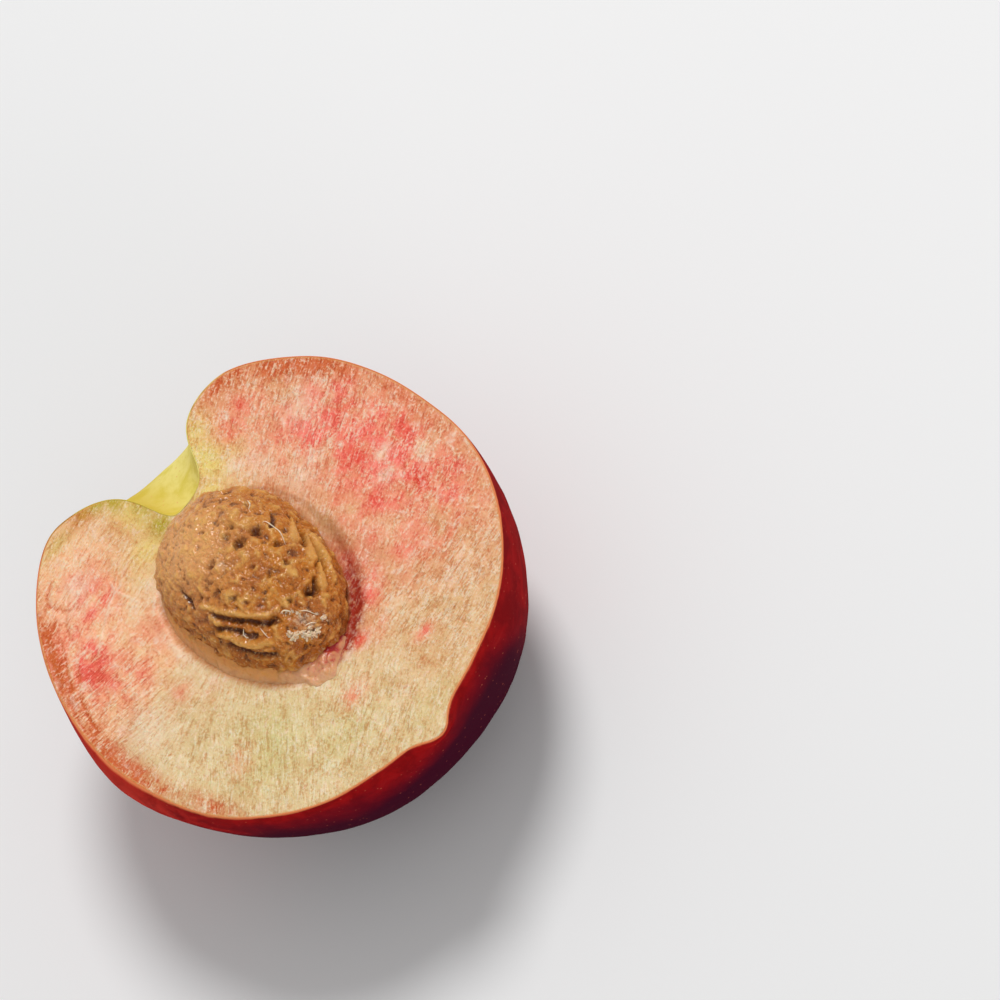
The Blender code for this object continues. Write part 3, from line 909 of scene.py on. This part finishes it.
def make_flesh(material):
    """The cut face, the hollow's wall and the flesh behind the skin, as one closed body."""
    surface, normals = skin_grid(FLESH_ROWS, FLESH_COLUMNS)
    inward = np.full(surface.shape[:2] + (1,), BEHIND_SKIN)
    inward[0] = inward[-1] = INSIDE_SKIN
    body = surface - normals * inward
    inset = np.array([0.0, INSIDE_SKIN, 0.0])
    body[:, 0] = surface[0, 0] - inset
    body[:, -1] = surface[0, -1] + inset
    body[..., 2] = np.clip(body[..., 2], cad_low[2] - AXIS.z + INSIDE_SKIN, 0.0)
    body[0, :, 2] = body[-1, :, 2] = 0.0

    outer = np.vstack([body[0, :], body[-1, -2:0:-1]])[:, :2]
    bearing = np.linspace(0.0, 2.0 * math.pi, RIM_POINTS, endpoint=False)
    rim = stone_hull(rim_directions(bearing), HOLLOW_GAP)[:, :2]
    corners, faces, numbers = cut_face(outer, rim)
    x, y = corners.T
    height, cut_tones = cut_relief(x, y, outer, rim)
    ring = [numbers[len(outer) + k] for k in range(RIM_POINTS)]
    wall, wall_faces = hollow_wall(bearing, ring, height[ring], len(corners))
    points = np.vstack([np.column_stack([x, y, height])] + wall)

    # Behind the skin the rows run from the right outline, under the fruit, to the left one.
    inside = body[1:-1, 1:-1]
    last = FLESH_COLUMNS
    ids = np.zeros((FLESH_ROWS + 1, last + 1), dtype=int)
    ids[0] = [numbers[k] for k in range(last + 1)]
    ids[-1, 1:-1] = [numbers[2 * last - k] for k in range(1, last)]
    ids[:, 0] = ids[0, 0]
    ids[:, -1] = ids[0, -1]
    ids[1:-1, 1:-1] = len(points) + np.arange(inside[..., 0].size).reshape(inside.shape[:2])
    points = np.vstack([points, inside.reshape(-1, 3)])
    faces += wall_faces + shell_faces(ids)
    thing = new_piece("peach_flesh", points, faces, material, "flesh")
    shape = bmesh.new()
    shape.from_mesh(thing.data)
    bmesh.ops.recalc_face_normals(shape, faces=shape.faces)
    shape.to_mesh(thing.data)
    shape.free()
    paint(thing, **flesh_tones(points[:, 0], points[:, 1], cut_tones, len(corners)))


SKIN_ROWS = 140
SKIN_COLUMNS = 240
SKIN_WAVE_DEPTH = 0.14 * MM
SKIN_WAVE_WIDTH = 9.0 * MM
SKIN_INSET = 0.02 * MM


def make_skin(material):
    """The skin as a thin closed shell round the flesh."""
    surface, normals = skin_grid(SKIN_ROWS, SKIN_COLUMNS)
    waves = -SKIN_WAVE_DEPTH * np.abs(fractal(surface.reshape(-1, 3) / SKIN_WAVE_WIDTH, 83))
    waves = waves.reshape(surface.shape[:2])
    # The waves die out towards the cut face and towards the spot that the fruit lies on.
    waves *= ramp(0.0, 6.0 * MM, -surface[..., 2])
    waves *= ramp(-34.5 * MM, -30.0 * MM, surface[..., 2])
    surface = surface + normals * (waves[..., None] - SKIN_INSET)
    surface[..., 2] = np.maximum(surface[..., 2], cad_low[2] - AXIS.z)
    surface[..., 1] = np.maximum(surface[..., 1], cad_low[1] - AXIS.y)

    inside = surface[:, 1:-1]
    ids = np.zeros((SKIN_ROWS + 1, SKIN_COLUMNS + 1), dtype=int)
    ids[:, 1:-1] = 2 + np.arange(inside[..., 0].size).reshape(inside.shape[:2])
    ids[:, -1] = 1
    points = np.vstack([surface[0, 0], surface[0, -1], inside.reshape(-1, 3)])
    faces = [face[::-1] for face in shell_faces(ids)]
    thing = new_piece("peach_skin", points, faces, material, "flesh")
    x, y, z = points.T / MM
    funnel = np.hypot(x, z)
    ground = ramp(15.0, 9.0, funnel) * ramp(10.0, 18.0, y)
    ground = np.maximum(ground, 0.55 * ramp(26.0, 14.0, funnel) * ramp(20.0, 30.0, y))
    bright = np.exp(-((x + 38.0) / 10.0) ** 2) * ramp(-24.0, -4.0, z)
    bright = np.maximum(bright, 0.5 * np.exp(z / 2.5) * ramp(-30.0, 10.0, y))
    bright *= ramp(-26.0, 4.0, y)
    # Darker away from the cut face and towards the blossom end: partly the skin's own dark tone and partly
    # painted shade.
    dark = ramp(-3.0, -16.0, z) * ramp(20.0, -15.0, y)
    dark *= ramp(-30.0, 5.0, x) * 0.5 + 0.5
    dark += 0.42 * ramp(-5.0, -25.0, y) * ramp(0.0, -4.0, z)
    dark *= 1.0 - 0.9 * ramp(8.0, 26.0, x)
    bare = 1.0 - ground
    paint(thing, ground=ground, olive=0.8 * ramp(3.0, -5.0, x), warm=np.exp(z / 0.28) * bare,
          bright=bright * bare, dark=dark)
    thicken(thing, SKIN_THICKNESS, -1.0)


# The stone

def unit(vectors):
    vectors = np.asarray(vectors, dtype=float)
    return vectors / np.linalg.norm(vectors, axis=-1, keepdims=True)


# The stone's marks as directions from its middle: lines with a width and a depth or height, in mm,
# the pointed ridges as a base and a tip with a width, and holes with a size and a depth.
FURROWS = [
    ([(-0.66, -0.06, 0.74), (-0.60, -0.17, 0.78), (-0.50, -0.35, 0.79), (-0.37, -0.51, 0.78),
      (-0.23, -0.61, 0.76), (-0.10, -0.70, 0.71)], 0.55, 0.65),
    ([(-0.76, -0.12, 0.64), (-0.64, -0.34, 0.69), (-0.55, -0.49, 0.68), (-0.43, -0.59, 0.68)], 0.5, 0.7),
    ([(-0.84, -0.26, 0.48), (-0.74, -0.48, 0.47), (-0.60, -0.66, 0.45), (-0.44, -0.78, 0.44)], 0.5, 0.7),
    ([(-0.88, 0.23, 0.42), (-0.93, 0.08, 0.36), (-0.91, -0.14, 0.38)], 0.45, 0.6),
    ([(-0.62, 0.30, 0.72), (-0.67, 0.18, 0.72), (-0.70, 0.02, 0.70)], 0.4, 0.5),
    ([(0.89, 0.12, 0.44), (0.91, -0.03, 0.42), (0.87, -0.15, 0.46), (0.86, -0.28, 0.43),
      (0.85, -0.38, 0.37), (0.76, -0.48, 0.44), (0.66, -0.60, 0.46)], 0.75, 2.1),
    ([(0.60, -0.55, 0.58), (0.48, -0.65, 0.59), (0.36, -0.68, 0.64)], 0.55, 1.1),
    ([(0.80, 0.16, 0.58), (0.70, 0.05, 0.71), (0.62, -0.04, 0.78)], 0.4, 0.6)]
RIDGES = [
    ([(-0.66, 0.04, 0.75), (-0.59, -0.06, 0.80), (-0.50, -0.24, 0.83), (-0.38, -0.40, 0.83),
      (-0.24, -0.51, 0.82), (-0.08, -0.60, 0.79)], 0.55, 0.45),
    ([(-0.80, -0.18, 0.57), (-0.73, -0.33, 0.60), (-0.67, -0.46, 0.58), (-0.59, -0.56, 0.58),
      (-0.47, -0.64, 0.60), (-0.37, -0.70, 0.61)], 0.5, 0.5),
    ([(0.93, -0.10, 0.33), (0.90, -0.30, 0.30), (0.83, -0.48, 0.28), (0.70, -0.68, 0.22)], 0.7, 0.5)]
TEETH = [
    ([(0.75, -0.19, 0.63), (0.93, 0.05, 0.42)], 1.0), ([(0.74, -0.40, 0.54), (0.92, -0.16, 0.40)], 1.0),
    ([(0.58, -0.64, 0.51), (0.76, -0.46, 0.47)], 1.0)]
HOLES = [
    ((0.23, 0.06, 0.97), 0.95, 1.3), ((0.51, 0.07, 0.85), 1.0, 1.1), ((0.33, 0.25, 0.91), 0.6, 0.7),
    ((0.19, 0.21, 0.96), 0.65, 0.7), ((-0.21, 0.15, 0.97), 0.7, 0.6), ((-0.45, 0.36, 0.82), 0.4, 0.5),
    ((0.15, -0.18, 0.97), 0.5, 0.5), ((0.46, -0.34, 0.82), 0.7, 0.8), ((-0.36, -0.07, 0.93), 0.5, 0.5),
    ((-0.32, -0.24, 0.91), 0.6, 0.7), ((-0.59, 0.05, 0.81), 0.5, 0.6), ((0.14, -0.60, 0.78), 0.6, 0.6),
    ((-0.09, -0.45, 0.89), 0.5, 0.5), ((0.56, -0.15, 0.82), 0.6, 0.7), ((0.20, -0.35, 0.91), 0.5, 0.5),
    ((0.40, -0.63, 0.66), 0.8, 1.1), ((0.05, 0.43, 0.90), 0.45, 0.5), ((0.60, 0.34, 0.72), 0.5, 0.6)]


# The small pits scattered over the stone.
PIT_COUNT = 230
PIT_SEED = 5


def track_distance(points, line):
    """line_distance to a line that is given as directions from the stone's middle."""
    return line_distance(points, stone_hull(unit(line)) / MM)


def stone_relief(directions, hull):
    """How deep the stone's surface lies under its hull, in mm, and where its cavities, which get painted
    shade, and its ridges are, 0 to 1.
    """
    place = hull / MM
    bend = noise_vectors(place / 2.6, 101, 103, 107)
    bent = place + 0.8 * bend
    fray = noise_vectors(place / 0.6, 149, 151, 157)
    x, y, z = directions.T
    rough = 1.0 - 0.5 * spot(x, y, -0.25, 0.45, 0.55, 0.5) * ramp(0.2, 0.6, z)
    lumps = noise(bent / 1.5, 113)
    small_lumps = noise(bent / 0.75, 127)
    grains = fractal(place / 0.36, 131, octaves=2)
    depth = 0.50 + 0.50 * noise(bent / 4.4, 109)
    depth += rough * (0.40 * lumps + 0.26 * small_lumps) + 0.10 * grains
    # Where painted shade goes in the material: the cavities and the dips of the grains, then the pits,
    # holes and furrows.
    cavity = rough * np.clip(1.5 * lumps + 0.8 * small_lumps - 0.3, 0.0, 0.6)
    cavity += np.clip(0.5 * grains, 0.0, 0.3)
    ridge = np.clip(-1.2 * lumps - 0.8 * small_lumps, 0.0, 1.0)

    draw = np.random.default_rng(PIT_SEED)
    middles = stone_hull(unit(draw.normal(size=(PIT_COUNT, 3)))) / MM
    sizes = 0.13 + 0.28 * draw.uniform(0.0, 1.0, PIT_COUNT) ** 2
    for middle, size in zip(middles, sizes):
        offset = place - middle
        near = np.abs(offset).max(axis=1) < 3.0 * size
        offset = offset[near] + 0.9 * size * fray[near]
        pit = np.exp(-((offset ** 2).sum(axis=1) / size ** 2) ** 1.6)
        depth[near] += 0.8 * size * pit
        cavity[near] = np.maximum(cavity[near], 0.5 * pit * min(1.0, size / 0.3))
    for direction, size, deep in HOLES:
        middle = stone_hull(unit([direction]))[0] / MM
        away = ((place + 0.5 * bend + 0.3 * fray - middle) ** 2).sum(axis=1) / size ** 2
        hole = np.exp(-away ** 1.2)
        depth += deep * hole
        cavity = np.maximum(cavity, hole * min(1.0, 0.35 + 0.5 * deep))
    for line, width, deep in FURROWS:
        gap, share = track_distance(place + 0.4 * bend + 0.25 * fray, line)
        furrow = np.exp(-(gap / width) ** 2) * tapered(share, 0.18)
        depth += deep * furrow
        cavity = np.maximum(cavity, furrow)
    for line, width, high in RIDGES:
        gap, share = track_distance(place + 0.4 * bend + 0.2 * fray, line)
        crest = np.exp(-(gap / width) ** 2) * tapered(share, 0.15)
        depth -= high * crest
        cavity *= 1.0 - 0.9 * crest
        ridge = np.maximum(ridge, crest)
    for line, width in TEETH:
        gap, share = track_distance(place + 0.2 * fray, line)
        tooth = np.exp(-(gap / (width * (1.0 - 0.8 * share))) ** 4)
        depth = depth * (1.0 - tooth) + tooth * (0.1 + 0.25 * share)
        cavity *= 1.0 - tooth
        ridge = np.maximum(ridge, 0.8 * tooth)
    return np.maximum(depth, 0.02), np.clip(cavity, 0.0, 1.0), ridge


EVEN_DEPTH = 0.3                # how deep the stone's even underside lies under its hull, in mm


def stone_sphere():
    """A unit sphere of triangles, finer on top, where the stone shows."""
    shape = ball(6)
    for lowest in (-0.35, 0.02):
        edges = [edge for edge in shape.edges if min(vert.co.z for vert in edge.verts) > lowest]
        bmesh.ops.subdivide_edges(shape, edges=edges, cuts=1, use_grid_fill=True)
    bmesh.ops.triangulate(shape, faces=shape.faces)
    corners, faces = corners_and_faces(shape)
    return unit(corners), faces


def make_stone(material):
    """The whole stone, rough above and even below, where it never shows."""
    directions, faces = stone_sphere()
    hull = stone_hull(directions)
    depth, cavity, ridge = stone_relief(directions, hull)
    x, y, z = directions.T
    shown = ramp(-0.45, -0.25, z)
    depth = EVEN_DEPTH + (depth - EVEN_DEPTH) * shown
    points = hull - unit(directions / STONE_SIZE) * depth[:, None] * MM
    points[:, 2] = np.minimum(points[:, 2], cad_high[2] - AXIS.z)
    thing = new_piece("peach_stone", points, faces, material, "pit")
    # Paler on the upper left side, towards the lamp: partly the shell's paler tone and partly painted
    # light.
    pale = 0.935 * spot(x, y, -0.2, 0.5, 0.6, 0.5) * ramp(-0.1, 0.4, z)
    ruddy = 0.2 * ramp(0.45, -0.05, z) * ramp(0.3, -0.5, y)
    ruddy += 0.5 * spot(x, y, 0.3, -0.8, 0.3, 0.2)
    films = [0.7 * spot(x, y, 0.06, -0.8, 0.24, 0.15), 0.7 * spot(x, y, -0.1, 0.05, 0.1, 0.1),
             0.6 * spot(x, y, 0.35, 0.42, 0.08, 0.08)]
    paint(thing, cavity=cavity * shown, ridge=ridge * shown, pale=pale,
          ruddy=np.clip(ruddy, 0.0, 1.0), film=np.max(films, axis=0))


# The shreds: torn wet flesh that clings to the stone and to the edge of its hollow

# The strands, in mm.
STRAND_SIDES = 10
STRAND_SPACING = 0.16
STRAND_LIFT = 0.08
STRAND_ARCH = 0.1


def strand(points, width, height, outward):
    """A lumpy tapered strand along a curve, all in mm: its corners and faces."""
    length = np.linalg.norm(np.diff(np.asarray(points, dtype=float), axis=0), axis=1).sum()
    rings = max(6, int(length / STRAND_SPACING))
    sides = STRAND_SIDES
    spine = smooth_curve(points, rings)
    side = unit(np.cross(unit(np.gradient(spine, axis=0)), outward))
    lift = np.cross(side, unit(np.gradient(spine, axis=0)))
    swell = np.sin(math.pi * np.clip(np.linspace(0.0, 1.0, rings), 0.02, 0.98)) ** 0.6
    around = np.linspace(0.0, 2.0 * math.pi, sides, endpoint=False)[:, None]
    corners = []
    for k in range(rings):
        ring = np.cos(around) * side[k] * width / 2 + np.sin(around) * lift[k] * height / 2
        corners.append(spine[k] + ring * swell[k])
    corners = np.vstack(corners)
    outline = corners - np.repeat(spine, sides, axis=0)
    corners = corners + outline * (0.5 * noise(corners / 0.8, 211))[:, None]
    faces = []
    for k in range(rings - 1):
        for j in range(sides):
            a, b = k * sides + j, k * sides + (j + 1) % sides
            faces.append((a, b, b + sides, a + sides))
    faces.append(tuple(range(sides - 1, -1, -1)))
    faces.append(tuple((rings - 1) * sides + j for j in range(sides)))
    return corners, faces


def on_stone(directions, lift):
    """Points over the stone's rough surface, in mm."""
    directions = unit(directions)
    hull = stone_hull(directions)
    depth = stone_relief(directions, hull)[0]
    return hull / MM + unit(directions / STONE_SIZE) * (lift - depth)[:, None]


# Fibres and shreds on the stone, as directions from its middle: their line, and their width and
# height in mm.
STONE_SHREDS = [
    ([(0.60, 0.08, 0.80), (0.63, 0.06, 0.78), (0.66, -0.01, 0.75), (0.66, -0.10, 0.74),
      (0.63, -0.20, 0.75)], 0.2, 0.16),
    ([(0.65, 0.37, 0.66), (0.64, 0.31, 0.70), (0.59, 0.27, 0.76)], 0.17, 0.14),
    ([(-0.07, -0.61, 0.78), (0.00, -0.62, 0.78), (0.07, -0.69, 0.72)], 0.22, 0.18),
    ([(-0.53, -0.42, 0.72), (-0.59, -0.45, 0.67), (-0.58, -0.50, 0.65)], 0.17, 0.14),
    ([(-0.39, -0.54, 0.75), (-0.39, -0.59, 0.70), (-0.40, -0.64, 0.66)], 0.16, 0.14),
    ([(0.02, -0.80, 0.58), (0.10, -0.80, 0.55), (0.16, -0.84, 0.50)], 0.18, 0.14),
    ([(0.12, -0.70, 0.70), (0.20, -0.74, 0.64), (0.24, -0.80, 0.55)], 0.18, 0.14),
    ([(-0.10, -0.84, 0.50), (-0.02, -0.86, 0.48), (0.05, -0.88, 0.44)], 0.18, 0.14)]
# The crust low on the stone: clumps by the direction of their middle and their size in mm, the
# crumbs that are scattered round them, and how deep they all sit, in mm.
CRUST = [
    ((-0.05, -0.62, 0.78), 0.20), ((0.01, -0.64, 0.77), 0.22), ((0.05, -0.67, 0.74), 0.22),
    ((0.08, -0.71, 0.70), 0.20), ((0.08, -0.74, 0.67), 0.18), ((-0.19, -0.76, 0.62), 0.42),
    ((-0.16, -0.80, 0.58), 0.52), ((-0.08, -0.83, 0.56), 0.50), ((-0.06, -0.87, 0.49), 0.60),
    ((0.02, -0.90, 0.44), 0.54), ((0.11, -0.90, 0.42), 0.50), ((0.05, -0.85, 0.53), 0.38),
    ((0.25, -0.80, 0.54), 0.30), ((0.28, -0.85, 0.45), 0.36), ((0.29, -0.87, 0.39), 0.22),
    ((0.16, -0.76, 0.63), 0.16)]
CRUMBS = 60
CRUMB_SIZES = (0.07, 0.16)
CRUMB_SPREAD = 0.025
CRUST_SINK = 0.05
CRUST_SEED = 23

# The torn wet rim of the hollow, by its bearing round the stone in degrees: the height that it starts
# from on the stone and the width that it covers beyond it, in mm, and how lumpy, how crimson and how
# brown it is.
RIM_BEARINGS = (
    -228, -214, -200, -186, -172, -158, -146, -136, -128, -120, -112, -105, -98, -91, -84, -74)
RIM_START = (-1.4, 0.0, 1.0, 1.7, 2.0, 2.0, 1.8, 1.6, 1.4, 1.1, 0.9, 0.8, 0.8, 0.7, 0.3, -0.8)
RIM_COVER = (0.1, 0.2, 0.4, 0.55, 0.65, 0.7, 0.7, 0.7, 0.8, 1.6, 2.7, 3.2, 2.8, 1.9, 0.9, 0.1)
RIM_LUMPS = (0.0, 0.2, 0.5, 0.7, 0.8, 0.8, 0.8, 0.8, 0.8, 1.1, 1.3, 1.3, 1.1, 0.9, 0.5, 0.1)
RIM_BLUSH = (0.0, 0.0, 0.05, 0.1, 0.1, 0.05, 0.05, 0.05, 0.1, 0.2, 0.25, 0.35, 0.55, 0.85, 1.0, 1.0)
RIM_BROWN = (1.0, 1.0, 1.0, 0.9, 0.9, 0.9, 0.9, 0.9, 0.7, 0.3, 0.0, 0.0, 0.1, 0.3, 0.4, 0.5)
RIM_STEPS = 420
RIM_COLUMNS = 40
FILM_INSET = 0.8 * MM
FILM_THICKNESS = 0.3 * MM
FILM_SINK = 0.16 * MM
LEAST_COVER = 0.1 * MM


def shreds_material():
    """Wet, tan, half clear flesh, white, brown or crimson where it is painted so."""
    n = Nodes("wet_shreds")
    grain = n.centred(1500.0, 3.0, 0.6)
    colour = n.mix(n.span(grain, -0.2, 0.2), (222, 158, 106), (238, 186, 142))
    # Whitish flesh; on the clumps it is whitest on their bulging tips and tan in their dips, partly
    # painted light and shade.
    colour = n.mix(n.math("MULTIPLY", n.attribute("white"), 0.7), colour, (252, 230, 198))
    brown = n.math("ADD", grain, n.attribute("brown"))
    colour = n.mix(n.span(brown, 0.05, 1.1), colour, (240, 162, 84))
    blush = n.scaled(grain, 1.4, n.attribute("blush"))
    colour = n.mix(n.span(blush, 0.05, 1.05), colour, (184, 34, 34))
    normal = n.bump(grain, 0.5, 0.00016)
    return n.finish(
        colour, 0.24, normal, Subsurface_Weight=0.4, Subsurface_Radius=(1.0, 0.5, 0.3),
        Subsurface_Scale=0.0009, Specular_IOR_Level=0.5)


def make_torn_rim(material):
    """A lumpy film of torn flesh from the stone's side over the edge of the hollow."""
    degrees = np.linspace(RIM_BEARINGS[0], RIM_BEARINGS[-1], RIM_STEPS)
    bearing = np.radians(degrees)

    def along_rim(values):
        return np.interp(degrees, RIM_BEARINGS, values)

    rise = (along_rim(RIM_START) * MM - STONE_CENTRE[2]) / (STONE_SIZE[2] / 2.0)
    inner = stone_hull(ring_directions(bearing, rise), -FILM_INSET)
    outward = np.stack([np.cos(bearing), np.sin(bearing), np.zeros(RIM_STEPS)], axis=-1)
    rim = stone_hull(rim_directions(bearing), HOLLOW_GAP)
    wander = 1.0 + 0.45 * noise(rim / (2.0 * MM), 301)
    ends = tapered(np.linspace(0.0, 1.0, RIM_STEPS), 0.05)
    cover = along_rim(RIM_COVER) * wander * ends * MM + LEAST_COVER
    outer = rim + outward * cover[:, None]
    drop, width, sharp = rim_drop(outer[:, 0], outer[:, 1])[:3]
    share = np.clip(cover / width, 0.0, 1.0)
    fall = sharp * (1.0 - share) + (1.0 - sharp) * (1.0 - ramp(0.0, 1.0, share))
    outer[:, 2] = -drop * fall - FILM_SINK
    across = np.linspace(0.0, 1.0, RIM_COLUMNS)[None, :, None]
    surface = inner[:, None, :] * (1.0 - across) + outer[:, None, :] * across
    across = across[..., 0]
    place = surface.reshape(-1, 3) / MM
    bent = place + 0.7 * noise_vectors(place / 1.8, 307, 311, 313)
    relief = 0.6 * noise(bent / 1.6, 317) + 0.2 * noise(bent / 0.8, 331) + 0.05 * noise(bent / 0.4, 337)
    relief = relief.reshape(RIM_STEPS, RIM_COLUMNS)
    arch = np.sin(math.pi * across) * along_rim(RIM_LUMPS)[:, None]
    surface[..., 2] += arch * (0.25 + relief) * MM
    faces = []
    for k in range(RIM_STEPS - 1):
        for j in range(RIM_COLUMNS - 1):
            a = k * RIM_COLUMNS + j
            faces.append((a, a + RIM_COLUMNS, a + RIM_COLUMNS + 1, a + 1))
    thing = new_piece("torn_rim", surface.reshape(-1, 3), faces, material, None)
    outer_share = ramp(0.25, 1.0, across)
    blush = along_rim(RIM_BLUSH)[:, None] * (1.15 - 0.75 * outer_share) * (1.0 - relief)
    brown = along_rim(RIM_BROWN)[:, None] * (1.2 - 0.9 * outer_share) * (1.0 - 0.6 * relief)
    paint(thing, blush=blush.ravel(), brown=brown.ravel())
    thicken(thing, FILM_THICKNESS, 0.0)


def make_shreds(material):
    """Fine fibres on the stone, and the crust of ragged whitish clumps low on it."""
    draw = np.random.default_rng(CRUST_SEED)
    corners = []
    faces = []
    count = 0
    for line, width, height in STONE_SHREDS:
        path = on_stone(np.array(line), STRAND_LIFT)
        path[1:-1] += STRAND_ARCH * unit(path[1:-1])
        points, own_faces = strand(path, width, height, unit(np.array(line).mean(axis=0)))
        corners.append(points * MM)
        faces += [tuple(count + index for index in face) for face in own_faces]
        count += len(points)

    clump, clump_faces = corners_and_faces(ball(4))
    white = [np.full(count, 1.0)]
    known = [direction for direction, size in CRUST]
    crumbs = np.array([known[k % len(known)] for k in range(CRUMBS)])
    crumbs = crumbs + draw.normal(0.0, CRUMB_SPREAD, (CRUMBS, 3))
    directions = np.vstack([known, crumbs])
    sizes = np.concatenate([[size for direction, size in CRUST], draw.uniform(*CRUMB_SIZES, CRUMBS)])
    middles = on_stone(directions, -CRUST_SINK)
    for number, (middle, outward, size) in enumerate(zip(middles, unit(directions), sizes)):
        seat = np.linalg.qr(np.column_stack([outward, draw.normal(size=(3, 2))]))[0]
        stretch = size * np.array([0.55, draw.uniform(0.9, 1.3), draw.uniform(0.6, 1.0)])
        wobble = 0.8 * noise(clump * 1.5 + number * 7.3, 401)
        wobble += 0.55 * fractal(clump * 3.4 + number * 5.1, 409)
        lumpy = clump * np.maximum(1.0 + wobble, 0.15)[:, None] * stretch
        corners.append((middle + lumpy @ seat.T) * MM)
        # Whiter on the bulging parts of each clump and tan in its dips: partly the whitish flesh and
        # partly painted light and shade.
        white.append(np.clip(0.55 + 1.3 * wobble, 0.0, 1.0))
        faces += [tuple(count + index for index in face) for face in clump_faces]
        count += len(clump)
    thing = new_piece("flesh_shreds", np.vstack(corners), faces, material, None)
    paint(thing, white=np.concatenate(white))


# The stage

def make_camera():
    """The camera. Returns its right, its up and the way back to it from the fruit."""
    view = Vector((0.0, -math.sin(CAMERA_TILT), math.cos(CAMERA_TILT)))
    level_right = Vector((1.0, 0.0, 0.0))
    level_up = view.cross(level_right)
    right = math.cos(CAMERA_ROLL) * level_right - math.sin(CAMERA_ROLL) * level_up
    up = math.sin(CAMERA_ROLL) * level_right + math.cos(CAMERA_ROLL) * level_up
    middle = IMAGE_SIZE / 2.0
    aim = right * ((middle - AXIS_PIXEL[0]) / PIXELS_PER_METRE)
    aim += up * ((AXIS_PIXEL[1] - middle) / PIXELS_PER_METRE)
    place = view * CAMERA_DISTANCE
    ahead = (aim - place).normalized()
    right = (right - ahead * right.dot(ahead)).normalized()
    up = right.cross(ahead)
    data = bpy.data.cameras.new("camera")
    data.sensor_width = SENSOR_WIDTH
    data.lens = PIXELS_PER_METRE * CAMERA_DISTANCE / IMAGE_SIZE * SENSOR_WIDTH
    data.clip_start = CAMERA_CLIP
    camera = bpy.data.objects.new("camera", data)
    turn = Matrix((right, up, -ahead)).transposed().to_4x4()
    camera.matrix_world = Matrix.Translation(place + AXIS) @ turn
    bpy.context.scene.collection.objects.link(camera)
    bpy.context.scene.camera = camera
    return right, up, -ahead


# The lights: place along the camera's right, up and back from the fruit, in metres, size and power.
LIGHTS = [("key", (-0.25, 0.95, 0.68), 0.4, 8.2), ("fill", (0.45, -0.55, 0.6), 0.6, 2.0)]
WORLD_STRENGTH = 0.45
FLOOR_HALF = 3.0
FLOOR_TONE = 0.86


def make_stage():
    sides = make_camera()
    shape = bmesh.new()
    bmesh.ops.create_grid(shape, x_segments=1, y_segments=1, size=FLOOR_HALF)
    mesh = bpy.data.meshes.new("floor")
    shape.to_mesh(mesh)
    shape.free()
    mesh.materials.append(Nodes("pale_floor").finish((FLOOR_TONE, FLOOR_TONE, FLOOR_TONE, 1.0), 0.7))
    floor = bpy.data.objects.new("floor", mesh)
    floor.location.z = cad_low[2]
    bpy.context.scene.collection.objects.link(floor)

    world = bpy.data.worlds.new("studio")
    world.use_nodes = True
    background = world.node_tree.nodes["Background"].inputs
    background["Color"].default_value = (1.0, 1.0, 1.0, 1.0)
    background["Strength"].default_value = WORLD_STRENGTH
    bpy.context.scene.world = world
    for name, place, size, power in LIGHTS:
        data = bpy.data.lights.new(name, "AREA")
        data.shape = "DISK"
        data.size = size
        data.energy = power
        light = bpy.data.objects.new(name, data)
        offset = sum((side * share for side, share in zip(sides, place)), Vector())
        light.location = AXIS + offset
        light.rotation_euler = (-offset).to_track_quat("-Z", "Y").to_euler()
        bpy.context.scene.collection.objects.link(light)
    bpy.context.scene.view_settings.view_transform = "Standard"


place_axis()
make_flesh(flesh_material())
make_skin(skin_material())
make_stone(stone_material())
wet_shreds = shreds_material()
make_torn_rim(wet_shreds)
make_shreds(wet_shreds)
make_stage()
